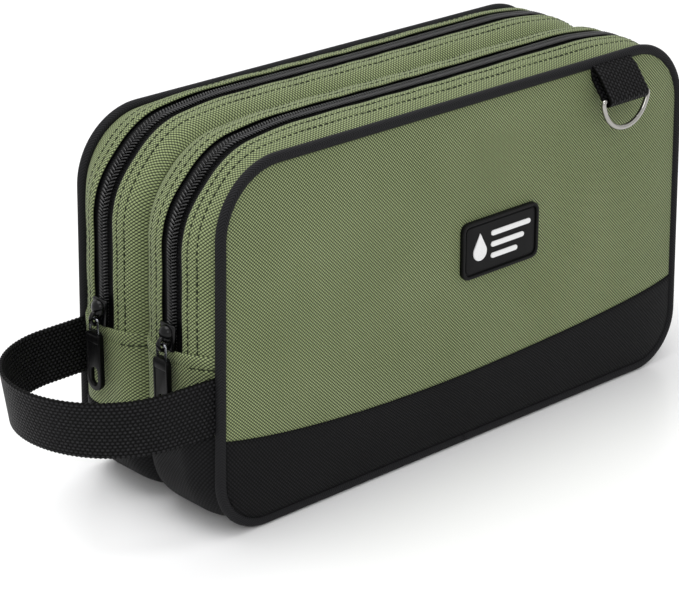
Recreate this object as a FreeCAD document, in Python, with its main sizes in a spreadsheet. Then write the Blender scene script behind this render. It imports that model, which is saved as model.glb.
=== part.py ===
import FreeCAD, Part
import math
import os
import re
import Sketcher
from FreeCAD import Placement, Rotation, Vector

# A wash bag with two zipped compartments, sewn back to back.
# +X runs along the bag to its plain end, -X to the end with the carry handle,
# -Y is the front and +Z is up. The origin is the middle of the base, on the floor.

SIZES = {
    # The seam outline in the XZ plane: four corner circles joined by their tangents.
    "low_centre_x": 115.45,
    "low_centre_z": 25.3,
    "low_radius": 23.0,
    "high_centre_x": 105.75,
    "high_centre_z": 129.3,
    "high_radius": 30.0,
    # The fuller outline that the gusset puffs out to between its seams, at the zips.
    "full_low_centre_x": 113.2,
    "full_low_centre_z": 34.3,
    "full_low_radius": 32.0,
    "full_high_centre_x": 97.0,
    "full_high_centre_z": 119.0,
    "full_high_radius": 46.0,
    # Insets from an outline. The two with "rise" in their name stand outside it.
    "zero": 0.0,
    "gusset_rise": 0.2,
    "coil_rise": 0.4,
    "coil_floor": 1.6,
    "tape_floor": 2.4,
    "panel_inset": 2.3,
    "gusset_floor": 3.0,
    "lining_inset": 3.6,
    "lining_floor": 4.4,
    "divider_inset": 6.0,
    "valley_depth": 7.0,
    "seam_depth": 9.0,
    # Distances from the middle plane towards the front or the back.
    "piping_y": 45.0,
    "panel_face": 46.8,
    "panel_back": 44.3,
    "flange_back": 43.7,
    "gusset_edge": 42.7,
    "lip_back": 41.7,
    "lining_face": 41.2,
    "lining_back": 40.4,
    "valley_y": 0.5,
    "valley_half": 2.0,
    "valley_lip": 0.6,
    "divider_half": 1.2,
    "lining_gap": 2.9,
    "lining_wall": 0.8,
    "base_gap": 0.15,
    # The two zips. The front one is ahead of the middle plane and the back one behind it.
    "front_zip": 22.5,
    "back_zip": 22.5,
    "tape_half": 6.5,
    "chain_half": 3.3,
    "chain_gap": 0.35,
    # Heights.
    "band_height": 40.0,
    "hinge_height": 75.5,
    "cut_half": 0.15,
    "zip_end_height": 70.5,
    "beyond": 200.0,
    "piping_radius": 2.3,
    "flange_offset": 1.0,
    "flange_half": 0.3,
    "flange_root": 2.0,
    "base_half_length": 110.0,
    "base_top": 2.6,
    # Slider, in its own frame: u points out of the bag, v along the chain.
    "front_slider_height": 86.1,
    "back_slider_height": 83.3,
    "slider_half_length": 6.0,
    "slider_half_width": 4.4,
    "upper_plate_low": 0.9,
    "upper_plate_high": 2.5,
    "lower_plate_low": 2.9,
    "lower_plate_high": 4.1,
    "post_half": 0.2,
    "post_half_length": 2.0,
    "bail_half_width": 1.2,
    "bail_half_length": 4.4,
    "bail_top": 7.4,
    "bail_wall": 1.3,
    "bail_corner": 1.6,
    "plate_corner": 1.5,
    # Pull tab and the wire link that hangs it from the slider's bail.
    "pivot_out": 5.2,
    "pivot_down": 2.2,
    "link_half_width": 2.7,
    "link_radius": 0.6,
    "link_corner": 1.2,
    "link_length": 6.4,
    "tab_half_width": 4.6,
    "tab_length": 26.0,
    "tab_half_thickness": 1.0,
    "tab_slot_radius": 2.2,
    "tab_slot_length": 3.8,
    "tab_rim": 2.4,
    # Carry handle: a U of webbing seen from above.
    "webbing_width": 25.0,
    "webbing_half": 0.75,
    "handle_bend": 42.7,
    "handle_centre_x": 160.0,
    "handle_start_x": 150.0,
    "handle_height": 58.5,
    "sewn_end_inner": 145.3,
    "sewn_end_outer": 149.6,
    "sewn_end_y": 41.0,
    # D-ring and the webbing loop that holds it.
    "ring_x": 88.0,
    "ring_radius": 14.3,
    "ring_wire": 1.4,
    "loop_hinge_y": 47.4,
    "loop_hinge_z": 153.6,
    "loop_start": 2.5,
    "loop_reach": 12.6,
    "loop_half": 1.5,
    "loop_bore": 1.6,
    "loop_slope": 45.0,
    # Rubber patch on the front.
    "patch_x": 17.5,
    "patch_z": 92.5,
    "patch_half_length": 23.5,
    "patch_half_height": 13.0,
    "patch_corner": 4.0,
    "patch_rim": 1.3,
    "patch_body_face": 48.3,
    "patch_rim_face": 48.9,
    "emblem_face": 48.8,
    "drop_left": 13.0,
    "drop_down": 1.6,
    "drop_radius": 4.0,
    "drop_tip": 8.5,
    "bar_radius": 1.2,
    "bar_left": 5.0,
    "bar_right": 17.0,
    "bar_step": 5.2,
    "bar_taper": 4.0,
}

# How near a point counts as being on a face or an edge.
NEAR = 0.01

doc = FreeCAD.newDocument("WashBag")
sheet = doc.addObject("Spreadsheet::Sheet", "Dimensions")
for row, (alias, size) in enumerate(SIZES.items(), start=1):
    sheet.set(f"A{row}", alias)
    sheet.set(f"B{row}", str(size))
    sheet.setAlias(f"B{row}", alias)
doc.recompute()

pieces = []


def number(formula):
    """The value of a sum of sheet names, such as "back_zip - tape_half"."""
    total = 0.0
    for sign, name in re.findall(r"([+-]?)\s*([a-z_]+)", formula):
        total += -SIZES[name] if sign == "-" else SIZES[name]
    return total


def cells(formula):
    """The same sum as an expression that follows the sheet."""
    return re.sub(r"[a-z_]+", lambda name: "Dimensions." + name.group(), formula)


def less(formula):
    """The sum with its signs turned round."""
    return "zero" + "".join(
        ("+" if sign == "-" else "-") + name
        for sign, name in re.findall(r"([+-]?)\s*([a-z_]+)", formula)
    )


def new_body(label):
    body = doc.addObject("PartDesign::Body", label)
    body.Label = label
    pieces.append(body)
    return body


def new_sketch(body, name, role, offset="zero"):
    """A sketch on one of the body's origin planes, moved along the plane's normal."""
    sketch = body.newObject("Sketcher::SketchObject", name)
    plane = next(item for item in body.Origin.OriginFeatures if item.Role == role)
    sketch.AttachmentSupport = [(plane, "")]
    sketch.MapMode = "FlatFace"
    sketch.setExpression("AttachmentOffset.Base.z", cells(offset))
    return sketch


def hold(sketch, kind, *where, formula):
    """Adds a dimension that follows the sheet."""
    index = sketch.addConstraint(Sketcher.Constraint(kind, *where, number(formula)))
    sketch.setExpression(f"Constraints[{index}]", cells(formula))


def add_line(sketch, start, end):
    return sketch.addGeometry(Part.LineSegment(Vector(*start, 0), Vector(*end, 0)), False)


def add_arc(sketch, centre, radius, start, end):
    circle = Part.Circle(Vector(*centre, 0), Vector(0, 0, 1), radius)
    return sketch.addGeometry(Part.ArcOfCircle(circle, start, end), False)


def add_rectangle(sketch, left, right, bottom, top):
    """A rectangle with its four sides at sums of sheet sizes."""
    x0, x1, y0, y1 = (number(side) for side in (left, right, bottom, top))
    corners = [(x0, y0), (x1, y0), (x1, y1), (x0, y1)]
    lines = [add_line(sketch, corners[i], corners[(i + 1) % 4]) for i in range(4)]
    for i in range(4):
        pair = (lines[i], 2, lines[(i + 1) % 4], 1)
        sketch.addConstraint(Sketcher.Constraint("Coincident", *pair))
        direction = "Vertical" if i % 2 else "Horizontal"
        sketch.addConstraint(Sketcher.Constraint(direction, lines[i]))
    hold(sketch, "DistanceX", lines[0], 1, formula=left)
    hold(sketch, "DistanceX", lines[2], 1, formula=right)
    hold(sketch, "DistanceY", lines[0], 1, formula=bottom)
    hold(sketch, "DistanceY", lines[2], 1, formula=top)
    return lines


SEAM = ""
FULL = "full_"


def corner_circles(inset, shape):
    """Centre and radius of each corner of an outline, from low right round to low left."""
    circles = []
    for name, sign in (("low", 1), ("high", 1), ("high", -1), ("low", -1)):
        centre = (sign * SIZES[f"{shape}{name}_centre_x"], SIZES[f"{shape}{name}_centre_z"])
        circles.append((centre, SIZES[f"{shape}{name}_radius"] - inset))
    return circles


def side_angle(first, second):
    """Direction of the outward normal of the tangent from one circle to the next."""
    (x1, z1), r1 = first
    (x2, z2), r2 = second
    along = math.atan2(z2 - z1, x2 - x1)
    return along - math.acos((r1 - r2) / math.hypot(x2 - x1, z2 - z1))


LEAN = side_angle(*corner_circles(0, FULL)[:2])


def side_x(height):
    """Half the fuller outline's width at a height between its corner curves."""
    (x, z), radius = corner_circles(0, FULL)[0]
    reach = x * math.cos(LEAN) + z * math.sin(LEAN) + radius
    return (reach - height * math.sin(LEAN)) / math.cos(LEAN)


def add_outline(sketch, inset, shape=SEAM):
    """A whole outline at an inset, from the middle of the base round to it again."""
    circles = corner_circles(number(inset), shape)
    normals = [side_angle(circles[i], circles[(i + 1) % 4]) for i in range(4)]
    base = (0, circles[0][0][1] - circles[0][1])
    start = base
    chain = []
    arcs = []
    for i in range(4):
        (x, z), radius = circles[i]
        first = normals[i - 1]
        last = normals[i] + (2 * math.pi if normals[i] < first else 0)
        entry = (x + radius * math.cos(first), z + radius * math.sin(first))
        chain.append(add_line(sketch, start, entry))
        chain.append(add_arc(sketch, (x, z), radius, first, last))
        arcs.append(chain[-1])
        start = (x + radius * math.cos(last), z + radius * math.sin(last))
    chain.append(add_line(sketch, start, base))
    for one, two in zip(chain, chain[1:]):
        sketch.addConstraint(Sketcher.Constraint("Tangent", one, 2, two, 1))
    sketch.addConstraint(Sketcher.Constraint("Coincident", chain[-1], 2, chain[0], 1))
    sketch.addConstraint(Sketcher.Constraint("Horizontal", chain[0]))
    hold(sketch, "DistanceX", chain[0], 1, formula="zero")
    for arc, (name, sign) in zip(arcs, (("low", ""), ("high", ""), ("high", "-"), ("low", "-"))):
        hold(sketch, "DistanceX", arc, 3, formula=f"{sign}{shape}{name}_centre_x")
        hold(sketch, "DistanceY", arc, 3, formula=f"{shape}{name}_centre_z")
        hold(sketch, "Radius", arc, formula=f"{shape}{name}_radius{less(inset)[4:]}")


def add_pad(body, sketch, low, high):
    """Extrudes an XZ or YZ sketch that stands at one end of the span low to high."""
    pad = body.newObject("PartDesign::Pad", sketch.Name + "_pad")
    pad.Profile = sketch
    pad.Length = number(high) - number(low)
    pad.setExpression("Length", f"{cells(high)} - ({cells(low)})")
    return pad


def pad_outline(body, name, y_low, y_high, outer, inner=None, shapes=(SEAM, SEAM)):
    """A plate with an outline's shape, or a ring of it where an inner inset is given."""
    sketch = new_sketch(body, name, "XZ_Plane", less(y_high))
    add_outline(sketch, outer, shapes[0])
    if inner:
        add_outline(sketch, inner, shapes[1])
    return add_pad(body, sketch, y_low, y_high)


def cut_box(body, name, role, left, right, bottom, top):
    """Cuts a rectangle right through, both ways from the origin plane it is drawn on."""
    doc.recompute()
    before = body.Shape.Volume
    sketch = new_sketch(body, name, role)
    add_rectangle(sketch, left, right, bottom, top)
    pocket = body.newObject("PartDesign::Pocket", name + "_pocket")
    pocket.Profile = sketch
    pocket.SideType = "Symmetric"
    pocket.setExpression("Length", "4 * Dimensions.beyond")
    doc.recompute()
    if body.Shape.Volume >= before:
        raise RuntimeError(f"{body.Label}: {name} cuts nothing")


def keep_lid(body):
    cut_box(body, body.Label + "_below", "XZ_Plane", "-beyond", "beyond", "-beyond", "hinge_height + cut_half")


def keep_lower(body, floor=None):
    cut_box(body, body.Label + "_above", "XZ_Plane", "-beyond", "beyond", "hinge_height - cut_half", "beyond")
    if floor:
        cut_box(body, body.Label + "_under", "XZ_Plane", "-beyond", "beyond", "-beyond", floor)


def span(side, near, far):
    """Two distances from the middle plane as a low and a high y, on the front or the back."""
    return (less(far), less(near)) if side == "front" else (near, far)


# Front and back panels: a zipped lid, the part under its fold line and the black base band.
for side in ("front", "back"):
    lid = new_body(side + "_panel_lid")
    pad_outline(lid, side + "_panel_lid_sketch", *span(side, "panel_back", "panel_face"), "panel_inset")
    keep_lid(lid)
    lower = new_body(side + "_panel_lower")
    pad_outline(lower, side + "_panel_lower_sketch", *span(side, "panel_back", "panel_face"), "panel_inset")
    keep_lower(lower, "band_height")
    band = new_body(side + "_base_band")
    pad_outline(band, side + "_base_band_sketch", *span(side, "panel_back", "panel_face"), "panel_inset")
    cut_box(band, side + "_band_top", "XZ_Plane", "-beyond", "beyond", "band_height", "beyond")


def piping(label, side):
    """A round cord in its binding, with the binding's flange caught in the seam."""
    body = new_body(label)
    path = new_sketch(body, label + "_path", "XZ_Plane", "piping_y" if side == "front" else "-piping_y")
    add_outline(path, "zero")
    middle = "-piping_y" if side == "front" else "piping_y"
    floor = number("low_centre_z - low_radius")
    round_part = new_sketch(body, label + "_round", "YZ_Plane")
    circle = Part.Circle(Vector(number(middle), floor, 0), Vector(0, 0, 1), SIZES["piping_radius"])
    cord = round_part.addGeometry(circle, False)
    hold(round_part, "Radius", cord, formula="piping_radius")
    hold(round_part, "DistanceX", cord, 3, formula=middle)
    hold(round_part, "DistanceY", cord, 3, formula="low_centre_z - low_radius")
    flange = new_sketch(body, label + "_flange", "YZ_Plane")
    near, far = span(side, "piping_y - flange_offset - flange_half", "piping_y - flange_offset + flange_half")
    base = "low_centre_z - low_radius"
    add_rectangle(flange, near, far, base + " + flange_root - flange_half", base + " + seam_depth")
    doc.recompute()
    for sketch in (round_part, flange):
        sweep = body.newObject("PartDesign::AdditivePipe", sketch.Name + "_sweep")
        sweep.Profile = sketch
        sweep.Spine = (path, [f"Edge{i + 1}" for i in range(9)])
        doc.recompute()
    return body


for side in ("front", "back"):
    keep_lid(piping(side + "_piping_lid", side))
    keep_lower(piping(side + "_piping_lower", side))


def gusset(label, y_low, y_high):
    """A strip of the fabric that runs round the bag, as full as it is at the zips."""
    body = new_body(label)
    pad_outline(body, label + "_wall", y_low, y_high, "-gusset_rise", "gusset_floor", (FULL, FULL))
    doc.recompute()
    return body


def turn_in_valley(body, lip_low, lip_high):
    """The edge that is turned in to the seam between the compartments."""
    name = body.Label + "_valley_lip"
    pad_outline(body, name, lip_low, lip_high, "panel_inset", "valley_depth", (FULL, SEAM))
    doc.recompute()
    return body


def turn_in_seam(body, side):
    """The slope down to the piping, and the edge that is caught in the piping's seam."""
    name = body.Label + "_slope"
    pad_outline(body, name, *span(side, "lip_back", "gusset_edge"), "zero", "panel_inset", (FULL, SEAM))
    doc.recompute()
    name = body.Label + "_seam_lip"
    pad_outline(body, name, *span(side, "lip_back", "flange_back"), "panel_inset", "seam_depth")
    doc.recompute()
    return body


VALLEY_FRONT = "valley_y - valley_half"
VALLEY_BACK = "valley_y + valley_half"
LIPS = {
    "front": (VALLEY_FRONT + " - valley_lip", VALLEY_FRONT),
    "back": (VALLEY_BACK, VALLEY_BACK + " + valley_lip"),
}

# The strips beside the zips. The lid strips open with the panels; the fixed ones meet in the valley.
keep_lid(turn_in_seam(gusset("front_gusset_lid_strip", "-gusset_edge", "-front_zip - tape_half"), "front"))
keep_lid(turn_in_valley(gusset("front_gusset_fixed_strip", "-front_zip + tape_half", VALLEY_FRONT), *LIPS["front"]))
keep_lid(turn_in_valley(gusset("back_gusset_fixed_strip", VALLEY_BACK, "back_zip - tape_half"), *LIPS["back"]))
keep_lid(turn_in_seam(gusset("back_gusset_lid_strip", "back_zip + tape_half", "gusset_edge"), "back"))

ZIP_Y = {"front": "-front_zip", "back": "back_zip"}
WALLS = {
    "front": ("-gusset_edge", VALLEY_FRONT),
    "back": (VALLEY_BACK, "gusset_edge"),
}


def end_wall(label, side):
    """The gusset's full width on one compartment, turned in along both edges."""
    return turn_in_seam(turn_in_valley(gusset(label, *WALLS[side]), *LIPS[side]), side)


# End panels: green fabric from the base to the hem under each zip's end, with a notch for the chain.
for side in ("front", "back"):
    for end, left, right in (("left", "zero", "beyond"), ("right", "-beyond", "zero")):
        panel = end_wall(f"{side}_end_panel_{end}", side)
        keep_lower(panel, "band_height")
        cut_box(panel, panel.Label + "_half", "XZ_Plane", left, right, "-beyond", "beyond")
        notch = (ZIP_Y[side] + " - tape_half", ZIP_Y[side] + " + tape_half", "zip_end_height", "beyond")
        cut_box(panel, panel.Label + "_notch", "YZ_Plane", *notch)

# Base wraps: black fabric up both ends and under the bag, resting flat on the floor.
for side in ("front", "back"):
    wrap = end_wall(side + "_base_wrap", side)
    cut_box(wrap, side + "_wrap_top", "XZ_Plane", "-beyond", "beyond", "band_height", "beyond")
    if side == "front":
        low, high = "-gusset_edge", "valley_y - base_gap"
    else:
        low, high = "valley_y + base_gap", "gusset_edge"
    foot = new_sketch(wrap, side + "_foot", "XZ_Plane", less(high))
    add_rectangle(foot, "-base_half_length", "base_half_length", "zero", "base_top")
    add_pad(wrap, foot, low, high)
    doc.recompute()

divider = new_body("divider_wall")
pad_outline(divider, "divider_sketch", "valley_y - divider_half", "valley_y + divider_half", "divider_inset")


def zip_strip(label, y_low, y_high, outer, inner):
    body = new_body(label)
    pad_outline(body, label + "_sketch", y_low, y_high, outer, inner, (FULL, FULL))
    doc.recompute()
    return body


# Zips: two tapes and two rows of coil, the lid's and the fixed side's, and the chain's two ends.
for side in ("front", "back"):
    zip_y = ZIP_Y[side]
    low_tape = (zip_y + " - tape_half", zip_y + " - chain_gap")
    high_tape = (zip_y + " + chain_gap", zip_y + " + tape_half")
    low_coil = (zip_y + " - chain_half", zip_y + " - chain_gap")
    high_coil = (zip_y + " + chain_gap", zip_y + " + chain_half")
    lid_tape, fixed_tape = (low_tape, high_tape) if side == "front" else (high_tape, low_tape)
    lid_coil, fixed_coil = (low_coil, high_coil) if side == "front" else (high_coil, low_coil)
    keep_lid(zip_strip(side + "_zip_tape_lid", *lid_tape, "coil_floor", "tape_floor"))
    keep_lid(zip_strip(side + "_zip_tape_fixed", *fixed_tape, "coil_floor", "tape_floor"))
    keep_lid(zip_strip(side + "_zip_coil_lid", *lid_coil, "-coil_rise", "coil_floor"))
    keep_lid(zip_strip(side + "_zip_coil_fixed", *fixed_coil, "-coil_rise", "coil_floor"))
    for end, left, right in (("left", "zero", "beyond"), ("right", "-beyond", "zero")):
        stub = zip_strip(f"{side}_zip_end_{end}", low_tape[0], high_tape[1], "coil_floor", "tape_floor")
        for row, coil in (("low", low_coil), ("high", high_coil)):
            pad_outline(stub, f"{stub.Label}_{row}", *coil, "-coil_rise", "coil_floor", (FULL, FULL))
            doc.recompute()
        keep_lower(stub, "zip_end_height")
        cut_box(stub, stub.Label + "_half", "XZ_Plane", left, right, "-beyond", "beyond")
        if end == "left":
            slit = (zip_y + " - chain_gap", zip_y + " + chain_gap", "zip_end_height + chain_gap", "beyond")
            cut_box(stub, stub.Label + "_slit", "YZ_Plane", *slit)

# Linings: a tub that lines each compartment and its fixed wall, and a lining inside its lid.
LINING_BOX = {
    "front": ("-lining_face", "valley_y - lining_gap"),
    "back": ("valley_y + lining_gap", "lining_face"),
}
for side in ("front", "back"):
    low, high = LINING_BOX[side]
    tub = new_body(side + "_lining_tub")
    pad_outline(tub, side + "_tub_outer", low, high, "lining_inset")
    doc.recompute()
    inner_low, inner_high = low + " + lining_wall", high + " - lining_wall"
    hollow = new_sketch(tub, side + "_tub_hollow", "XZ_Plane", less(inner_high))
    add_outline(hollow, "lining_floor")
    carve = tub.newObject("PartDesign::Pocket", side + "_tub_carve")
    carve.Profile = hollow
    carve.Reversed = True
    carve.Length = number(inner_high) - number(inner_low)
    carve.setExpression("Length", f"{cells(inner_high)} - ({cells(inner_low)})")
    doc.recompute()
    open_low = "-beyond" if side == "front" else ZIP_Y[side] + " - tape_half"
    open_high = ZIP_Y[side] + " + tape_half" if side == "front" else "beyond"
    mouth = (open_low, open_high, "hinge_height - cut_half", "beyond")
    cut_box(tub, side + "_tub_mouth", "YZ_Plane", *mouth)
    notch = (ZIP_Y[side] + " - tape_half", ZIP_Y[side] + " + tape_half", "zip_end_height", "hinge_height")
    cut_box(tub, side + "_tub_notch", "YZ_Plane", *notch)
    lid_side = span(side, "lining_back", "lining_face")
    strip_near = "front_zip + tape_half" if side == "front" else "back_zip + tape_half"
    lid = new_body(side + "_lining_lid")
    pad_outline(lid, side + "_lining_face", *lid_side, "lining_inset")
    doc.recompute()
    lid_rim = span(side, strip_near, "lining_back")
    pad_outline(lid, side + "_lining_rim", *lid_rim, "lining_inset", "lining_floor")
    doc.recompute()
    keep_lid(lid)


def upright_plate(body, name, u_low, u_high, half_width, v_low, v_high):
    """A plate of a slider or pull tab that lies flat against the bag's end."""
    sketch = new_sketch(body, name, "YZ_Plane", less(u_high))
    add_rectangle(sketch, less(half_width), half_width, v_low, v_high)
    add_pad(body, sketch, u_low, u_high)
    doc.recompute()


def round_edges(body, radius, chosen):
    """Fillets, to a sum of sheet sizes, the edges that a test picks from the body's shape."""
    doc.recompute()
    base = body.Tip
    names = [f"Edge{i}" for i, edge in enumerate(base.Shape.Edges, start=1) if chosen(edge)]
    fillet = body.newObject("PartDesign::Fillet", body.Name + "_round" + str(len(body.Group)))
    fillet.Base = (base, names)
    fillet.setExpression("Radius", cells(radius))
    doc.recompute()


def runs_along(edge, axis):
    ends = [vertex.Point for vertex in edge.Vertexes]
    return len(ends) == 2 and abs((ends[1] - ends[0]).normalize().dot(axis)) > 0.999


def make_slider(label):
    """Two plates joined by a thin post between the coil rows, with an arched bail on top."""
    body = new_body(label)
    ends = ("-slider_half_length", "slider_half_length")
    upright_plate(body, label + "_upper", "upper_plate_low", "upper_plate_high", "slider_half_width", *ends)
    posts = ("-post_half_length", "post_half_length")
    upright_plate(body, label + "_post", "-lower_plate_low", "upper_plate_low", "post_half", *posts)
    upright_plate(body, label + "_lower", "-lower_plate_high", "-lower_plate_low", "slider_half_width", *ends)
    arch = new_sketch(body, label + "_arch", "XZ_Plane", "-bail_half_width")
    add_rectangle(arch, "-bail_top", "-upper_plate_high + chain_gap", "-bail_half_length", "bail_half_length")
    hole = ("-bail_half_length + bail_wall", "bail_half_length - bail_wall")
    add_rectangle(arch, "-bail_top + bail_wall", "-upper_plate_high", *hole)
    add_pad(body, arch, "-bail_half_width", "bail_half_width")
    doc.recompute()
    across = Vector(0, 1, 0)
    crown = NEAR - number("bail_top")
    round_edges(body, "bail_corner", lambda e: runs_along(e, across) and e.BoundBox.XMax < crown)
    out = Vector(1, 0, 0)
    corner = number("slider_half_length")
    round_edges(body, "plate_corner", lambda e: runs_along(e, out) and abs(abs(e.CenterOfMass.z) - corner) < NEAR)
    return body


def make_link(label):
    """A wire staple: its bar turns in the bail and its two legs run down to the tab."""
    body = new_body(label)
    path = new_sketch(body, label + "_path", "YZ_Plane")
    half, corner, drop = number("link_half_width"), number("link_corner"), -number("link_length")
    parts = [
        add_line(path, (-half, drop), (-half, -corner)),
        add_arc(path, (corner - half, -corner), corner, math.pi / 2, math.pi),
        add_line(path, (corner - half, 0), (half - corner, 0)),
        add_arc(path, (half - corner, -corner), corner, 0, math.pi / 2),
        add_line(path, (half, -corner), (half, drop)),
    ]
    left, first, bar, last, right = parts
    for joint in ((left, 2, first, 2), (first, 1, bar, 1), (bar, 2, last, 2), (last, 1, right, 1)):
        path.addConstraint(Sketcher.Constraint("Tangent", *joint))
    path.addConstraint(Sketcher.Constraint("Vertical", left))
    path.addConstraint(Sketcher.Constraint("Vertical", right))
    hold(path, "DistanceX", left, 1, formula="-link_half_width")
    hold(path, "DistanceX", right, 2, formula="link_half_width")
    hold(path, "DistanceY", left, 1, formula="-link_length")
    hold(path, "DistanceY", right, 2, formula="-link_length")
    hold(path, "DistanceY", bar, 1, formula="zero")
    hold(path, "Radius", first, formula="link_corner")
    hold(path, "Radius", last, formula="link_corner")
    wire = new_sketch(body, label + "_wire", "XY_Plane", "-link_length")
    circle = Part.Circle(Vector(0, -half, 0), Vector(0, 0, 1), number("link_radius"))
    round_wire = wire.addGeometry(circle, False)
    hold(wire, "Radius", round_wire, formula="link_radius")
    hold(wire, "DistanceX", round_wire, 3, formula="zero")
    hold(wire, "DistanceY", round_wire, 3, formula="-link_half_width")
    doc.recompute()
    sweep = body.newObject("PartDesign::AdditivePipe", label + "_sweep")
    sweep.Profile = wire
    sweep.Spine = (path, [f"Edge{i + 1}" for i in range(5)])
    doc.recompute()
    return body


def make_tab(label):
    """A flat moulded tab with a round lower end and a slot through it."""
    body = new_body(label)
    sketch = new_sketch(body, label + "_face", "YZ_Plane", "-tab_half_thickness")
    width, end = number("tab_half_width"), -number("link_length + tab_length")
    top, turn = -number("link_length"), end + width
    left = add_line(sketch, (-width, top), (-width, turn))
    bottom = add_arc(sketch, (0, turn), width, math.pi, 2 * math.pi)
    right = add_line(sketch, (width, turn), (width, top))
    upper = add_line(sketch, (width, top), (-width, top))
    sketch.addConstraint(Sketcher.Constraint("Tangent", left, 2, bottom, 1))
    sketch.addConstraint(Sketcher.Constraint("Tangent", bottom, 2, right, 1))
    sketch.addConstraint(Sketcher.Constraint("Coincident", right, 2, upper, 1))
    sketch.addConstraint(Sketcher.Constraint("Coincident", upper, 2, left, 1))
    sketch.addConstraint(Sketcher.Constraint("Horizontal", upper))
    sketch.addConstraint(Sketcher.Constraint("Vertical", left))
    hold(sketch, "Radius", bottom, formula="tab_half_width")
    hold(sketch, "DistanceX", bottom, 3, formula="zero")
    hold(sketch, "DistanceY", bottom, 3, formula="-link_length - tab_length + tab_half_width")
    hold(sketch, "DistanceY", upper, 1, formula="-link_length")
    radius = number("tab_slot_radius")
    low = end + number("tab_rim") + radius
    high = low + number("tab_slot_length")
    lower_arc = add_arc(sketch, (0, low), radius, math.pi, 2 * math.pi)
    slot_right = add_line(sketch, (radius, low), (radius, high))
    upper_arc = add_arc(sketch, (0, high), radius, 0, math.pi)
    slot_left = add_line(sketch, (-radius, high), (-radius, low))
    ring = [lower_arc, slot_right, upper_arc, slot_left]
    for one, two in zip(ring, ring[1:] + ring[:1]):
        sketch.addConstraint(Sketcher.Constraint("Tangent", one, 2, two, 1))
    sketch.addConstraint(Sketcher.Constraint("Vertical", slot_left))
    hold(sketch, "Radius", lower_arc, formula="tab_slot_radius")
    hold(sketch, "DistanceX", lower_arc, 3, formula="zero")
    floor = "-link_length - tab_length + tab_rim + tab_slot_radius"
    hold(sketch, "DistanceY", lower_arc, 3, formula=floor)
    hold(sketch, "DistanceY", upper_arc, 3, formula=floor + " + tab_slot_length")
    add_pad(body, sketch, "-tab_half_thickness", "tab_half_thickness")
    doc.recompute()
    return body


# A slider, a wire link and a pull tab at the handle end of each zip.
pivots = {}
for side in ("front", "back"):
    height = number(side + "_slider_height")
    place = Placement(
        Vector(-side_x(height), number(ZIP_Y[side]), height),
        Rotation(Vector(0, 1, 0), math.degrees(LEAN)),
    )
    make_slider(side + "_zip_slider").Placement = place
    pivots[side] = place.multVec(Vector(-number("pivot_out"), 0, -number("pivot_down")))
    make_link(side + "_pull_link").Placement = Placement(pivots[side], Rotation())
    make_tab(side + "_pull_tab").Placement = Placement(pivots[side], Rotation())

# Carry handle: flat webbing bent into a U, and the two ends sewn into the seams.
strap = new_body("handle_strap")
plan = new_sketch(strap, "handle_plan", "XY_Plane", "zero")
centre, start = -number("handle_centre_x"), -number("handle_start_x")
outer, inner = number("handle_bend + webbing_half"), number("handle_bend - webbing_half")
band = [
    add_line(plan, (start, outer), (centre, outer)),
    add_arc(plan, (centre, 0), outer, math.pi / 2, 3 * math.pi / 2),
    add_line(plan, (centre, -outer), (start, -outer)),
    add_line(plan, (start, -outer), (start, -inner)),
    add_line(plan, (start, -inner), (centre, -inner)),
    add_arc(plan, (centre, 0), inner, math.pi / 2, 3 * math.pi / 2),
    add_line(plan, (centre, inner), (start, inner)),
    add_line(plan, (start, inner), (start, outer)),
]
joins = [("Tangent", 0, 2, 1, 1), ("Tangent", 1, 2, 2, 1), ("Coincident", 2, 2, 3, 1)]
joins += [("Coincident", 3, 2, 4, 1), ("Tangent", 4, 2, 5, 2), ("Tangent", 5, 1, 6, 1)]
joins += [("Coincident", 6, 2, 7, 1), ("Coincident", 7, 2, 0, 1)]
for kind, one, one_end, two, two_end in joins:
    plan.addConstraint(Sketcher.Constraint(kind, band[one], one_end, band[two], two_end))
for line in (0, 6, 2, 4):
    plan.addConstraint(Sketcher.Constraint("Horizontal", band[line]))
hold(plan, "DistanceX", band[0], 1, formula="-handle_start_x")
hold(plan, "DistanceX", band[2], 2, formula="-handle_start_x")
hold(plan, "DistanceX", band[6], 2, formula="-handle_start_x")
hold(plan, "DistanceX", band[4], 1, formula="-handle_start_x")
for arc, reach in ((1, "handle_bend + webbing_half"), (5, "handle_bend - webbing_half")):
    hold(plan, "DistanceX", band[arc], 3, formula="-handle_centre_x")
    hold(plan, "DistanceY", band[arc], 3, formula="zero")
    hold(plan, "Radius", band[arc], formula=reach)
strap_pad = strap.newObject("PartDesign::Pad", "handle_pad")
strap_pad.Profile = plan
strap_pad.SideType = "Symmetric"
strap_pad.setExpression("Length", cells("webbing_width"))
strap.Placement = Placement(Vector(0, 0, number("handle_height")), Rotation())

for side, sign in (("front", -1), ("back", 1)):
    end = doc.addObject("Part::Box", f"handle_end_{side}")
    end.Label = end.Name
    end.setExpression("Length", cells("sewn_end_outer - sewn_end_inner"))
    end.setExpression("Width", "2 * Dimensions.webbing_half")
    end.setExpression("Height", cells("webbing_width"))
    corner_y = sign * number("sewn_end_y") - number("webbing_half")
    corner_z = number("handle_height") - number("webbing_width") / 2
    end.Placement = Placement(Vector(-number("sewn_end_outer"), corner_y, corner_z), Rotation())
    pieces.append(end)


def primitive(kind, name, place, **formulas):
    """A Part primitive with sizes that follow the sheet."""
    item = doc.addObject(kind, name)
    for size, formula in formulas.items():
        item.setExpression(size, formula)
    item.Placement = place
    return item


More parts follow.
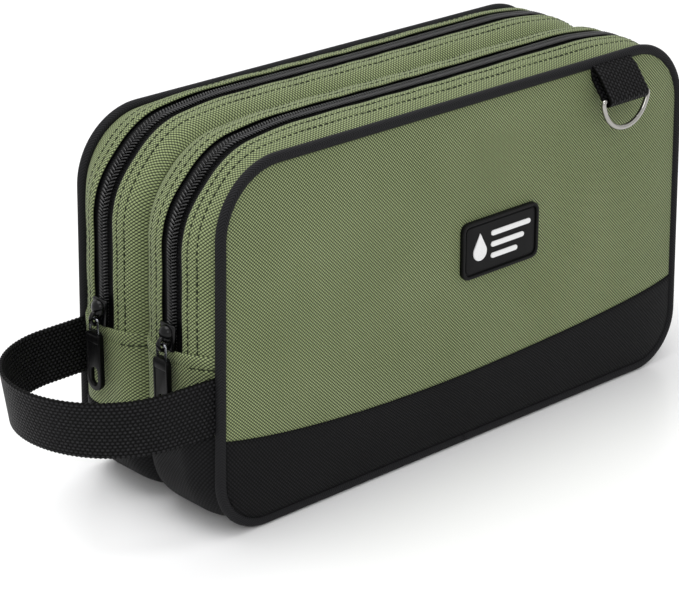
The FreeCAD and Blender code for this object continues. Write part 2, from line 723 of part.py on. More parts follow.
# D-ring loop: webbing folded round the ring's bar, standing out from the top seam.
slope = Rotation(Vector(1, 0, 0), number("loop_slope"))
hinge = Vector(number("ring_x"), -number("loop_hinge_y"), number("loop_hinge_z"))
bar_centre = hinge + slope.multVec(Vector(0, -number("loop_reach"), 0))
sideways = Rotation(Vector(0, 1, 0), 90)
half_width = number("webbing_width") / 2
slab_corner = Vector(-half_width, -number("loop_reach"), -number("loop_half"))
slab = primitive(
    "Part::Box", "loop_slab", Placement(hinge + slope.multVec(slab_corner), slope),
    Length=cells("webbing_width"), Width=cells("loop_reach - loop_start"), Height="2 * Dimensions.loop_half",
)
turn_place = Placement(bar_centre - Vector(half_width, 0, 0), sideways)
turn = primitive(
    "Part::Cylinder", "loop_turn", turn_place,
    Radius=cells("loop_bore + loop_half - flange_half"), Height=cells("webbing_width"),
)
bore = primitive(
    "Part::Cylinder", "loop_hole", turn_place,
    Radius=cells("loop_bore"), Height=cells("webbing_width"),
)
folded = doc.addObject("Part::Fuse", "loop_folded")
folded.Base = slab
folded.Tool = turn
loop = doc.addObject("Part::Cut", "dring_loop")
loop.Label = "dring_loop"
loop.Base = folded
loop.Tool = bore
pieces.append(loop)

# D-ring: a straight bar in the loop and a half round below it.
bow = primitive(
    "Part::Torus", "ring_bow", Placement(bar_centre, Rotation(Vector(1, 0, 0), -90)),
    Radius1=cells("ring_radius"), Radius2=cells("ring_wire"), Angle3="180",
)
bar = primitive(
    "Part::Cylinder", "ring_bar", Placement(bar_centre - Vector(number("ring_radius"), 0, 0), sideways),
    Radius=cells("ring_wire"), Height="2 * Dimensions.ring_radius",
)
corners = [
    primitive(
        "Part::Sphere", f"ring_corner_{i}",
        Placement(bar_centre + Vector(sign * number("ring_radius"), 0, 0), Rotation()),
        Radius=cells("ring_wire"),
    )
    for i, sign in enumerate((-1, 1))
]
ring = doc.addObject("Part::MultiFuse", "d_ring")
ring.Label = "d_ring"
ring.Shapes = [bow, bar, *corners]
pieces.append(ring)

# Rubber patch on the front lid: a plate with a raised rim, a drop and three bars.
patch = new_body("patch")
left, right = "patch_x - patch_half_length", "patch_x + patch_half_length"
bottom, top = "patch_z - patch_half_height", "patch_z + patch_half_height"
plate = new_sketch(patch, "patch_plate", "XZ_Plane", "panel_face")
add_rectangle(plate, left, right, bottom, top)
add_pad(patch, plate, "-patch_body_face", "-panel_face")
doc.recompute()
rim = new_sketch(patch, "patch_rim_sketch", "XZ_Plane", "patch_body_face")
add_rectangle(rim, left, right, bottom, top)
add_rectangle(rim, left + " + patch_rim", right + " - patch_rim", bottom + " + patch_rim", top + " - patch_rim")
add_pad(patch, rim, "-patch_rim_face", "-patch_body_face")
depth = Vector(0, 1, 0)
reach = number("patch_half_length") - NEAR
round_edges(
    patch, "patch_corner",
    lambda e: runs_along(e, depth) and abs(e.CenterOfMass.x - number("patch_x")) > reach,
)
hole = reach - number("patch_rim")
round_edges(
    patch, "patch_corner - patch_rim",
    lambda e: runs_along(e, depth) and hole < abs(e.CenterOfMass.x - number("patch_x")) < reach,
)


def make_drop():
    """A water drop: most of a circle, and its two tangents up to a point."""
    body = new_body("patch_drop")
    face = new_sketch(body, "drop_face", "XZ_Plane", "patch_body_face")
    x, z = number("patch_x - drop_left"), number("patch_z - drop_down")
    radius, tip = number("drop_radius"), number("drop_tip")
    spread = math.acos(radius / tip)
    first, last = math.pi / 2 + spread, 5 * math.pi / 2 - spread
    ends = [(x + radius * math.cos(turn), z + radius * math.sin(turn)) for turn in (first, last)]
    belly = add_arc(face, (x, z), radius, first, last)
    right_side = add_line(face, ends[1], (x, z + tip))
    left_side = add_line(face, (x, z + tip), ends[0])
    face.addConstraint(Sketcher.Constraint("Tangent", belly, 2, right_side, 1))
    face.addConstraint(Sketcher.Constraint("Coincident", right_side, 2, left_side, 1))
    face.addConstraint(Sketcher.Constraint("Tangent", left_side, 2, belly, 1))
    hold(face, "Radius", belly, formula="drop_radius")
    hold(face, "DistanceX", belly, 3, formula="patch_x - drop_left")
    hold(face, "DistanceY", belly, 3, formula="patch_z - drop_down")
    hold(face, "DistanceX", right_side, 2, formula="patch_x - drop_left")
    hold(face, "DistanceY", right_side, 2, formula="patch_z - drop_down + drop_tip")
    add_pad(body, face, "-emblem_face", "-patch_body_face")


def make_bar(label, level, right):
    """A bar with round ends, at a height and up to a right end that are sums of sheet sizes."""
    body = new_body(label)
    face = new_sketch(body, label + "_face", "XZ_Plane", "patch_body_face")
    z, radius = number(level), number("bar_radius")
    x0, x1 = number("patch_x - bar_left"), number(right)
    ring = [
        add_arc(face, (x0, z), radius, math.pi / 2, 3 * math.pi / 2),
        add_line(face, (x0, z - radius), (x1, z - radius)),
        add_arc(face, (x1, z), radius, -math.pi / 2, math.pi / 2),
        add_line(face, (x1, z + radius), (x0, z + radius)),
    ]
    for one, two in zip(ring, ring[1:] + ring[:1]):
        face.addConstraint(Sketcher.Constraint("Tangent", one, 2, two, 1))
    face.addConstraint(Sketcher.Constraint("Horizontal", ring[1]))
    hold(face, "Radius", ring[0], formula="bar_radius")
    hold(face, "DistanceX", ring[0], 3, formula="patch_x - bar_left")
    hold(face, "DistanceY", ring[0], 3, formula=level)
    hold(face, "DistanceX", ring[2], 3, formula=right)
    add_pad(body, face, "-emblem_face", "-patch_body_face")


make_drop()
make_bar("patch_bar_1", "patch_z + bar_step", "patch_x + bar_right")
make_bar("patch_bar_2", "patch_z", "patch_x + bar_right - bar_taper")
make_bar("patch_bar_3", "patch_z - bar_step", "patch_x + bar_right - bar_taper - bar_taper")

doc.recompute()

faults = [item.Name for item in doc.Objects if "Invalid" in item.State or "Error" in item.State]
for piece in pieces:
    solid = piece.Shape
    if solid.isNull() or not solid.isValid() or len(solid.Solids) != 1:
        faults.append(f"{piece.Label}: {len(solid.Solids)} solids")
if faults:
    raise RuntimeError(f"faulty objects: {faults}")

os.makedirs("parts", exist_ok=True)
for piece in pieces:
    piece.Shape.exportStep(f"parts/{piece.Label}.step")

print("nodes", len(pieces))
print("zip axis", round(math.sin(LEAN), 5), 0, round(math.cos(LEAN), 5))
for side, pivot in pivots.items():
    print(side, "pull tab pivot", [round(value, 3) for value in pivot])
print("ring bar", [round(value, 3) for value in bar_centre])
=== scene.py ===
import bpy
import math
from mathutils import Matrix, Vector


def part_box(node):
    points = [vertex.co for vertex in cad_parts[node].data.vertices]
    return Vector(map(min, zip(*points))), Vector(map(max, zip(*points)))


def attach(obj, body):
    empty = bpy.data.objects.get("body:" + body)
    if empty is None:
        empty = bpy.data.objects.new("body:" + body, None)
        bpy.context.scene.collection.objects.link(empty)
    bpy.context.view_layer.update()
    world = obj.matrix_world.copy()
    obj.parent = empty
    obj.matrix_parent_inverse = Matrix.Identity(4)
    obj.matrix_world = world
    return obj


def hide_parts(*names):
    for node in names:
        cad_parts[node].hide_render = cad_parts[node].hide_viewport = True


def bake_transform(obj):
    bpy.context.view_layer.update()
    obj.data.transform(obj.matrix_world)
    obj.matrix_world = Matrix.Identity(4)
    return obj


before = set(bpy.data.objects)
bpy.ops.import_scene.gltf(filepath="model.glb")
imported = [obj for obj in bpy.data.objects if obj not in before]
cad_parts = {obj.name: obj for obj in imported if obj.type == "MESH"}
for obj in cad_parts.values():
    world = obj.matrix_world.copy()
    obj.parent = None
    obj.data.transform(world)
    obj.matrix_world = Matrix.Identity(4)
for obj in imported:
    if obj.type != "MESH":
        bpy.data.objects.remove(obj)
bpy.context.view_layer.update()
MM = 0.001

# Front and back panels. Foam-backed 600D polyester, olive green, cut to the seam outline
# and sewn all round into the piping, so that each one crowns a little between its seams.

LOW_X, LOW_Z, LOW_R = 115.45 * MM, 25.3 * MM, 23.0 * MM
HIGH_X, HIGH_Z, HIGH_R = 105.75 * MM, 129.3 * MM, 30.0 * MM
RISE = math.hypot(HIGH_X - LOW_X, HIGH_Z - LOW_Z)
LEAN = math.atan2(HIGH_Z - LOW_Z, HIGH_X - LOW_X) - math.acos((LOW_R - HIGH_R) / RISE)
PIPING_Y = 45.0 * MM
PANEL_EDGE = 0.8 * MM
PANEL_CELL = 2.5 * MM
CROWN = 3.0 * MM


def linear(code):
    """A colour for a shader from an sRGB hex value."""
    parts = [int(code[i:i + 2], 16) / 255 for i in (1, 3, 5)]
    return [c / 12.92 if c <= 0.04045 else ((c + 0.055) / 1.055) ** 2.4 for c in parts] + [1]


def add_node(tree, kind, links=None, **settings):
    """Adds a node. A link is an output socket or a plain value, by input name or number."""
    node = tree.nodes.new("ShaderNode" + kind)
    for name, value in settings.items():
        setattr(node, name, value)
    for place, value in (links or {}).items():
        if isinstance(value, bpy.types.NodeSocket):
            tree.links.new(value, node.inputs[place])
        else:
            node.inputs[place].default_value = value
    return node


def new_material(name, surface):
    """A material whose surface has these values."""
    material = bpy.data.materials.new(name)
    material.use_nodes = True
    tree = material.node_tree
    shader = tree.nodes["Principled BSDF"]
    for place, value in surface.items():
        shader.inputs[place].default_value = value
    return material, tree, shader


def ribs(tree, *lanes):
    """Round ribs, one to each unit of a lane."""
    waves = []
    for lane in lanes:
        turned = add_node(tree, "Math", {0: lane, 1: math.pi}, operation="MULTIPLY").outputs[0]
        wave = add_node(tree, "Math", {0: turned}, operation="SINE").outputs[0]
        waves.append(add_node(tree, "Math", {0: wave}, operation="ABSOLUTE").outputs[0])
    return waves


def woven(name, thread, shade, gap, pitch, rough, sheen, slant=True, relief=0.22, shine=0.3):
    """A plain-woven polyester on the piece's own flat UV map, in metres, with painted shade in the gaps
    between its threads.
    """
    surface = {"Roughness": rough, "Specular IOR Level": shine}
    surface |= {"Sheen Weight": sheen, "Sheen Roughness": 0.4}
    material, tree, shader = new_material(name, surface)
    flat = add_node(tree, "UVMap", uv_map="UVMap").outputs[0]
    scaled = add_node(tree, "VectorMath", {0: flat, 3: 1 / pitch}, operation="SCALE").outputs[0]
    split = add_node(tree, "SeparateXYZ", {0: scaled})
    lanes = split.outputs[:2]
    if slant:
        both = dict(enumerate(lanes))
        lanes = [add_node(tree, "Math", both, operation=way).outputs[0] for way in ("ADD", "SUBTRACT")]
    waves = ribs(tree, *lanes)
    soft = add_node(tree, "Math", {0: waves[1], 1: 0.7, 2: 0.3}, operation="MULTIPLY_ADD").outputs[0]
    height = add_node(tree, "Math", {0: waves[0], 1: soft}, operation="MULTIPLY").outputs[0]
    place = add_node(tree, "TexCoord").outputs["Object"]
    # Slow unevenness of the dyeing, a few centimetres across, and of single threads.
    cloud = add_node(tree, "TexNoise", {"Vector": place, "Scale": 22.0, "Detail": 3.0}).outputs[0]
    fleck = add_node(tree, "TexNoise", {"Vector": scaled, "Scale": 1.3, "Detail": 1.0}).outputs[0]
    mixed = add_node(tree, "Math", {0: cloud, 1: 0.6, 2: -0.05}, operation="MULTIPLY_ADD").outputs[0]
    mixed = add_node(tree, "Math", {0: fleck, 1: 0.4, 2: mixed}, operation="MULTIPLY_ADD").outputs[0]
    top = add_node(tree, "Mix", {0: mixed, 6: linear(shade), 7: linear(thread)}, data_type="RGBA").outputs[2]
    # Where the weave is low the gap colour is laid in: painted shade between the threads.
    depth = add_node(tree, "MapRange", {0: height, 1: 0.14, 2: 0.85}).outputs[0]
    colour = add_node(tree, "Mix", {0: depth, 6: linear(gap), 7: top}, data_type="RGBA").outputs[2]
    bump = add_node(tree, "Bump", {"Height": height, "Distance": relief * MM, "Strength": 0.8}).outputs[0]
    tree.links.new(colour, shader.inputs["Base Color"])
    tree.links.new(bump, shader.inputs["Normal"])
    return material


# Woven polyester scatters softly; the dark gaps between its threads are painted shade. 600D cloth
# has threads about 0.5 mm apart; the twill lines they make are drawn 1.06 mm apart, a pitch of 1.5 mm.
green_cloth = woven(
    "olive_600d_polyester", "#A6B283", "#818F5C", "#10160A", 1.5 * MM, 0.72, 0.08, relief=0.3
)
black_cloth = woven("black_600d_polyester", "#262628", "#101011", "#010101", 1.75 * MM, 0.6, 0.0, shine=0.08)


def make_active(piece):
    bpy.ops.object.select_all(action="DESELECT")
    piece.select_set(True)
    bpy.context.view_layer.objects.active = piece


def apply_modifiers(piece):
    make_active(piece)
    for modifier in list(piece.modifiers):
        bpy.ops.object.modifier_apply(modifier=modifier.name)


def added(make, **shape):
    """A new primitive, with its place, turn and size put into its mesh."""
    bpy.ops.object.select_all(action="DESELECT")
    make(**shape)
    bpy.ops.object.transform_apply(location=True, rotation=True, scale=True)
    return bpy.context.object


def smoothed(piece):
    for face in piece.data.polygons:
        face.use_smooth = True


def thicken(piece, wall):
    """Gives cloth its thickness, on its inner side."""
    shell = piece.modifiers.new("wall", "SOLIDIFY")
    shell.thickness = wall
    shell.offset = -1
    shell.use_even_offset = False
    apply_modifiers(piece)
    smoothed(piece)


def use(piece, material):
    piece.data.materials.clear()
    piece.data.materials.append(material)


def flat_cloth(name, start, end, rows, step):
    """Cloth laid flat: x runs along it and y across it, at the rows given. Its UV map is its
    flat place in metres."""
    count = round((end - start) / step)
    make = bpy.ops.mesh.primitive_grid_add
    cloth = added(make, x_subdivisions=count, y_subdivisions=len(rows) - 1, size=1)
    cloth.name = name
    cloth.data.name = name
    for point in cloth.data.vertices:
        point.co.x = start + (point.co.x + 0.5) * (end - start)
        point.co.y = rows[round((point.co.y + 0.5) * (len(rows) - 1))]
    for corner in cloth.data.loops:
        cloth.data.uv_layers[0].data[corner.index].uv = cloth.data.vertices[corner.vertex_index].co.xy
    return cloth


def side_x(z):
    """Half the seam outline's width at a height between its corner curves."""
    reach = LOW_X * math.cos(LEAN) + LOW_Z * math.sin(LEAN) + LOW_R
    return (reach - z * math.sin(LEAN)) / math.cos(LEAN)


def corner_of(x, z):
    """The corner circle that a point belongs to, or None on a straight stretch."""
    if z < LOW_Z and abs(x) > LOW_X:
        return LOW_X, LOW_Z, LOW_R
    if z > HIGH_Z and abs(x) > HIGH_X:
        return HIGH_X, HIGH_Z, HIGH_R
    return None


def panel_sheet(name, floor, y_face):
    """A flat sheet cut to the seam outline, from a height up, standing at a y and facing -Y."""
    ceiling = HIGH_Z + HIGH_R - PANEL_EDGE
    rows_up = round((ceiling - floor) / PANEL_CELL)
    rows = [i / rows_up for i in range(rows_up + 1)]
    sheet = flat_cloth(name, -1, 1, rows, 2 / 112)
    for point in sheet.data.vertices:
        z = floor + point.co.y * (ceiling - floor)
        point.co = Vector((point.co.x * (side_x(z) - PANEL_EDGE), y_face, z))
    outside = []
    for face in sheet.data.polygons:
        gaps = []
        for index in face.vertices:
            spot = sheet.data.vertices[index].co
            circle = corner_of(spot.x, spot.z)
            if circle:
                gaps.append(math.hypot(abs(spot.x) - circle[0], spot.z - circle[1]) - circle[2] + PANEL_EDGE)
        if len(gaps) == 4 and min(gaps) > 0:
            outside.append(face.index)
    make_active(sheet)
    bpy.ops.object.mode_set(mode="EDIT")
    bpy.ops.mesh.select_all(action="DESELECT")
    bpy.ops.object.mode_set(mode="OBJECT")
    for index in outside:
        sheet.data.polygons[index].select = True
    bpy.ops.object.mode_set(mode="EDIT")
    bpy.ops.mesh.delete(type="FACE")
    bpy.ops.object.mode_set(mode="OBJECT")
    for point in sheet.data.vertices:
        circle = corner_of(point.co.x, point.co.z)
        if circle:
            away = Vector((abs(point.co.x) - circle[0], point.co.z - circle[1]))
            if away.length > circle[2] - PANEL_EDGE:
                away *= (circle[2] - PANEL_EDGE) / away.length
                point.co.x = math.copysign(circle[0] + away.x, point.co.x)
                point.co.z = circle[1] + away.y
    for corner in sheet.data.loops:
        spot = sheet.data.vertices[corner.vertex_index].co
        sheet.data.uv_layers[0].data[corner.index].uv = (spot.x, spot.z)
    return sheet


def edge_distance(x, z):
    """How far a point of a panel is inside the seam outline."""
    circle = corner_of(x, z)
    if circle:
        return circle[2] - math.hypot(abs(x) - circle[0], z - circle[1])
    sides = (side_x(z) - abs(x)) * math.cos(LEAN)
    return max(min(sides, z - LOW_Z + LOW_R, HIGH_Z + HIGH_R - z), 0)


def crown_panel(sheet):
    """Blows the panel out between its seams, as its foam does. Its rim stays in the seam."""
    rim = [p.index for p in sheet.data.vertices if edge_distance(p.co.x, p.co.z) < 2 * PANEL_EDGE]
    held = sheet.vertex_groups.new(name="seam")
    held.add(rim, 1.0, "REPLACE")
    flat = [p.co.copy() for p in sheet.data.vertices]
    cloth = sheet.modifiers.new("cloth", "CLOTH")
    cloth.settings.vertex_group_mass = "seam"
    cloth.settings.effector_weights.gravity = 0
    cloth.settings.use_pressure = True
    cloth.settings.uniform_pressure_force = 4.0
    cloth.settings.tension_stiffness = 40
    cloth.settings.compression_stiffness = 40
    cloth.settings.bending_stiffness = 8
    cloth.point_cache.frame_start = 1
    cloth.point_cache.frame_end = 20
    for step in range(1, 21):
        bpy.context.scene.frame_set(step)
    apply_modifiers(sheet)
    swell = max(abs(p.co.y - q.y) for p, q in zip(sheet.data.vertices, flat))
    for point, before in zip(sheet.data.vertices, flat):
        out = abs(point.co.y - before.y) / swell if swell > 0 else 0
        inside = edge_distance(before.x, before.z)
        fast = 1 - math.exp(-inside / (9 * MM))
        point.co = before + Vector((0, -CROWN * (0.5 * out + 0.5 * fast), 0))
    sheet.vertex_groups.clear()


def copied(piece, name):
    make_active(piece)
    bpy.ops.object.duplicate()
    twin = bpy.context.object
    twin.name = name
    twin.data.name = name
    return twin


def mirrored(piece, name):
    """A copy for the other side of the bag."""
    twin = copied(piece, name)
    twin.data.transform(Matrix.Scale(-1, 4, (0, 1, 0)))
    twin.data.flip_normals()
    return twin


front_panel = panel_sheet("front_panel", LOW_Z - LOW_R + PANEL_EDGE, -PIPING_Y - 0.6 * MM)
crown_panel(front_panel)
bare_panel = mirrored(front_panel, "bare_panel")
thicken(front_panel, 1.6 * MM)
back_panel = mirrored(front_panel, "back_panel")
for side, panel in (("front", front_panel), ("back", back_panel)):
    use(panel, green_cloth)
    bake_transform(panel)
    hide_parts(side + "_panel_lid", side + "_panel_lower")

# Base bands. Black polyester sewn over the foot of each panel, its top edge folded under.
# It is caught in the piping with the panel, and lies on it a folded thickness proud. Its top
# edge sags to the middle of the bag and climbs at the two ends.

BAND_TOP = 40 * MM
BAND_RISE = 0.9 * MM
SAG = 5.4 * MM
SAG_X = -15 * MM
CLIMB_LEFT = 9.6 / 118 ** 2 / MM
CLIMB_RIGHT = 6.8 / 132 ** 2 / MM


def cut_across(piece, cuts, cut_off=False):
    """Cuts a piece's faces along planes of (place, normal), and may drop what is past them."""
    make_active(piece)
    bpy.ops.object.mode_set(mode="EDIT")
    for place, normal in cuts:
        bpy.ops.mesh.select_all(action="SELECT")
        bpy.ops.mesh.bisect(plane_co=place, plane_no=normal, clear_outer=cut_off)
    bpy.ops.object.mode_set(mode="OBJECT")


for side in ("front", "back"):
    taken = mirrored if side == "front" else copied
    band = taken(bare_panel, side + "_band")
    cut_across(band, [((0, 0, BAND_TOP), (0, 0, 1))], cut_off=True)
    outward = -1 if side == "front" else 1
    for point in band.data.vertices:
        inside = min(edge_distance(point.co.x, point.co.z) / (4 * MM), 1)
        below = min((BAND_TOP - point.co.z) / (1.2 * MM), 1)
        point.co.y += outward * BAND_RISE * inside * (0.55 + 0.45 * below)
        away = point.co.x - SAG_X
        climb = (CLIMB_LEFT if away < 0 else CLIMB_RIGHT) * away ** 2
        point.co.z += (climb - SAG) * max(point.co.z / BAND_TOP, 0) ** 2
    thicken(band, 0.8 * MM)
    use(band, black_cloth)
    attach(band, "root")
    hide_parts(side + "_base_band")
bpy.data.objects.remove(bare_panel)

# Piping. A 4 mm filler cord in herringbone twill binding, caught all round between each
# panel and the gusset. It runs the whole seam outline in one closed loop.

PIPING_R = 2.3 * MM
SEAM_Z = LOW_Z - LOW_R


def placed(name, data):
    thing = bpy.data.objects.new(name, data)
    bpy.context.scene.collection.objects.link(thing)
    return thing


def seam_line():
    """The seam outline as a closed curve. Cloth is laid round it from the middle of the base,
    up the handle end and over the top."""
    curve = bpy.data.curves.new("seam_line", "CURVE")
    curve.dimensions = "2D"
    curve.resolution_u = 48
    spline = curve.splines.new("BEZIER")
    spline.bezier_points.add(8)
    corners = (
        (-LOW_X, LOW_Z, LOW_R, 1.5 * math.pi, math.pi - LEAN),
        (-HIGH_X, HIGH_Z, HIGH_R, math.pi - LEAN, math.pi / 2),
        (HIGH_X, HIGH_Z, HIGH_R, math.pi / 2, LEAN),
        (LOW_X, LOW_Z, LOW_R, LEAN, -math.pi / 2),
    )
    places = []
    for x, z, radius, first, last in corners:
        pull = 4 / 3 * math.tan(abs(last - first) / 4) * radius
        for angle, way in ((first, 1), (last, -1)):
            point = Vector((x + radius * math.cos(angle), z + radius * math.sin(angle), 0))
            reach = Vector((math.sin(angle), -math.cos(angle), 0)) * pull * way
            places.append((point, None if way > 0 else point + reach, point + reach if way > 0 else None))
    places.append((Vector((0, SEAM_Z, 0)), None, None))
    for i, (point, left, right) in enumerate(places):
        knot = spline.bezier_points[i]
        knot.handle_left_type = "FREE"
        knot.handle_right_type = "FREE"
        knot.co = point
        knot.handle_left = left or point + (places[i - 1][0] - point) / 3
        knot.handle_right = right or point + (places[(i + 1) % len(places)][0] - point) / 3
    spline.use_cyclic_u = True
    line = placed("seam_line", curve)
    line.rotation_euler = (math.pi / 2, 0, 0)
    bpy.context.view_layer.update()
    return line


seam = seam_line()
LOW_ARC = LOW_R * (math.pi / 2 - LEAN)
HIGH_ARC = HIGH_R * (math.pi / 2 + LEAN)
SIDE_RUN = RISE * math.cos(math.asin((HIGH_R - LOW_R) / RISE))
END_START = LOW_X + LOW_ARC
HALF_WAY = END_START + SIDE_RUN + HIGH_ARC + HIGH_X
ALL_ROUND = 2 * HALF_WAY


def along_to(z):
    """Length of seam from the middle of the base up to a height on the handle end."""
    return END_START + (z - LOW_Z + LOW_R * math.sin(LEAN)) / math.cos(LEAN)


def lay_round(piece):
    """Bends a flat piece round the seam outline: x along it, y across the bag, z outwards."""
    bend = piece.modifiers.new("round", "CURVE")
    bend.object = seam
    bend.deform_axis = "POS_X"
    apply_modifiers(piece)


def herringbone(name, thread, gap):
    """Twill tape: slanting ribs that turn back every few millimetres, with painted shade between them."""
    material, tree, shader = new_material(name, {"Roughness": 0.6, "Specular IOR Level": 0.1})
    flat = add_node(tree, "UVMap", uv_map="UVMap").outputs[0]
    split = add_node(tree, "SeparateXYZ", {0: flat})
    # Ribs 1.3 mm apart in rows 3 mm wide, about twice the real size, so that they show.
    row = add_node(tree, "Math", {0: split.outputs[1], 1: 3.0 * MM}, operation="PINGPONG").outputs[0]
    lean = add_node(tree, "Math", {0: row, 1: 1.0, 2: split.outputs[0]}, operation="MULTIPLY_ADD").outputs[0]
    lane = add_node(tree, "Math", {0: lean, 1: 1 / (1.3 * MM)}, operation="MULTIPLY").outputs[0]
    rib = ribs(tree, lane)[0]
    # The gap colour between the ribs is painted shade.
    colour = add_node(tree, "Mix", {0: rib, 6: linear(gap), 7: linear(thread)}, data_type="RGBA").outputs[2]
    bump = add_node(tree, "Bump", {"Height": rib, "Distance": 0.2 * MM, "Strength": 0.9}).outputs[0]
    tree.links.new(colour, shader.inputs["Base Color"])
    tree.links.new(bump, shader.inputs["Normal"])
    return material


def sealed(piece, gap):
    """Joins points closer than the gap and turns every face outwards."""
    make_active(piece)
    bpy.ops.object.mode_set(mode="EDIT")
    bpy.ops.mesh.select_all(action="SELECT")
    if gap:
        bpy.ops.mesh.remove_doubles(threshold=gap)
    bpy.ops.mesh.normals_make_consistent(inside=False)
    bpy.ops.object.mode_set(mode="OBJECT")


binding_cloth = herringbone("black_herringbone_binding", "#222224", "#050505")

for side, y, body in (("front", -PIPING_Y, "front_flap"), ("back", PIPING_Y, "back_flap")):
    turns = [i * 2 * math.pi / 16 for i in range(17)]
    piping = flat_cloth(side + "_piping", 0, ALL_ROUND, [PIPING_R * turn for turn in turns], 2 * MM)
    for point in piping.data.vertices:
        turn = point.co.y / PIPING_R
        point.co.y = y + PIPING_R * math.sin(turn)
        point.co.z = PIPING_R * math.cos(turn)
    lay_round(piping)
    sealed(piping, 0.02 * MM)
    smoothed(piping)
    use(piping, binding_cloth)
    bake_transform(piping)
    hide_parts(side + "_piping_lid", side + "_piping_lower")

# Gusset strips. The same green cloth, in strips beside each zip. Each compartment puffs out
# between its seams: full at the zip, tight round the top corners, and pulled down into the
# valley where the two compartments are sewn together.

ZIP_Y = 22.5 * MM
MIDDLE_Y = 0.5 * MM
SEAM_GAP = 0.15 * MM
TAPE_HALF = 6.5 * MM
SEAM_REACH = 20.8 * MM
CLOTH_WALL = 1.0 * MM
EDGE_DROP = 1.0 * MM
# Fullness outside the seam outline at the zips, and the valley's depth, by the length from
# the middle of the base.
TOP_START = HALF_WAY - HIGH_X
MID_CORNER = TOP_START - HIGH_ARC / 2
FULLNESS = (
    (0, 1.7 * MM), (LOW_X, 1.7 * MM), (END_START + 20 * MM, 7.0 * MM), (along_to(122 * MM), 7.0 * MM),
    (MID_CORNER, 1.4 * MM), (TOP_START + 26 * MM, 5.7 * MM), (HALF_WAY, 5.2 * MM),
)
VALLEY = (
    (0, 1.0 * MM), (LOW_X, 1.0 * MM), (END_START, 4.0 * MM), (HALF_WAY - 170 * MM, 3.5 * MM),
    (MID_CORNER, 5.5 * MM), (TOP_START + 40 * MM, 4.5 * MM), (HALF_WAY, 4.5 * MM),
)
STITCH_ROWS = (9.6 * MM, 13.6 * MM)
SIDES = (("front", -ZIP_Y, -1.0), ("back", ZIP_Y, 1.0))


def level(length, knots):
    """A smooth value between knots of (length, value)."""
    for (low, first), (high, last) in zip(knots, knots[1:]):
        if length <= high:
            part = (length - low) / (high - low)
            return first + (last - first) * part * part * (3 - 2 * part)
    return knots[-1][1]


def puff(along, y):
    """How far the gusset stands out of the seam outline."""
    length = along % ALL_ROUND
    length = min(length, ALL_ROUND - length)
    full = level(length, FULLNESS)
    centre = math.copysign(ZIP_Y, y - MIDDLE_Y)
    across = abs(y - centre) - TAPE_HALF
    if across <= 0:
        return full
    if (y - centre) * centre < 0:
        part = min(across / (abs(MIDDLE_Y - centre) - TAPE_HALF), 1)
        return full - (full + level(length, VALLEY)) * part ** 3.4
    part = min(across / (SEAM_REACH - TAPE_HALF), 1)
    return full - (full + EDGE_DROP) * part ** 1.8


def puff_out(piece, rise=0.0):
    """Lifts a flat piece to the gusset's surface and bends it round the bag."""
    for point in piece.data.vertices:
        point.co.z += puff(point.co.x, point.co.y) + rise
    lay_round(piece)


def strip_rows(centre, outward, reach):
    """Rows across a strip, from the zip tape to its seam, closer at its fold and stitches."""
    marks = [6.4, 6.6, 7.0, 7.6, 8.4, 9.1, 9.4, 9.6, 9.8, 10.1]
    marks += [10.8, 11.6, 12.5, 13.1, 13.4, 13.6, 13.8, 14.1]
    marks += [14.1 + (reach / MM - 14.1) * i / 10 for i in range(1, 11)]
    rows = [centre + outward * mark * MM for mark in marks]
    return rows if outward > 0 else rows[::-1]


HEM_UNDER = 4 * MM
STRIP_START = along_to(75.5 * MM) - HEM_UNDER
strips = []
for side, centre, away in SIDES:
    fixed_reach = abs(MIDDLE_Y - centre) - SEAM_GAP
    for part, outward, reach in (("lid", away, SEAM_REACH), ("fixed", -away, fixed_reach)):
        rows = strip_rows(centre, outward, reach)
        strip = flat_cloth(f"{side}_gusset_{part}", STRIP_START, ALL_ROUND - STRIP_START, rows, 1.8 * MM)
        for point in strip.data.vertices:
            across = abs(point.co.y - centre)
            for row in STITCH_ROWS:
                point.co.z -= 0.4 * MM * math.exp(-(((across - row) / (0.35 * MM)) ** 2))
            point.co.z -= 0.7 * MM * math.exp(-(across - 6.4 * MM) / (0.35 * MM))
            # The cloth ripples a little between its stitches.
            drift = 3 * math.sin(point.co.x / (31 * MM))
            point.co.z += 0.12 * MM * math.sin(point.co.x / (5.2 * MM) + drift)
        puff_out(strip, 0.2 * MM)
        thicken(strip, CLOTH_WALL)
        use(strip, green_cloth)
        if part == "lid":
            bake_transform(strip)
        else:
            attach(strip, "root")
        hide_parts(f"{side}_gusset_{part}_strip")
        strips.append((side, part, centre, outward))

# End panels. Green cloth up both ends of each compartment, from the black base to a folded
# hem that is sewn down over the zip's end.

HEMS = {"front": 81.0 * MM, "back": 77.5 * MM}
HEM_SEAM = 5.5 * MM
END_FOOT = along_to(38 * MM)


def even_rows(first, last, count):
    """Evenly spaced rows across a piece, the lowest first."""
    low, high = min(first, last), max(first, last)
    return [low + (high - low) * i / count for i in range(count + 1)]


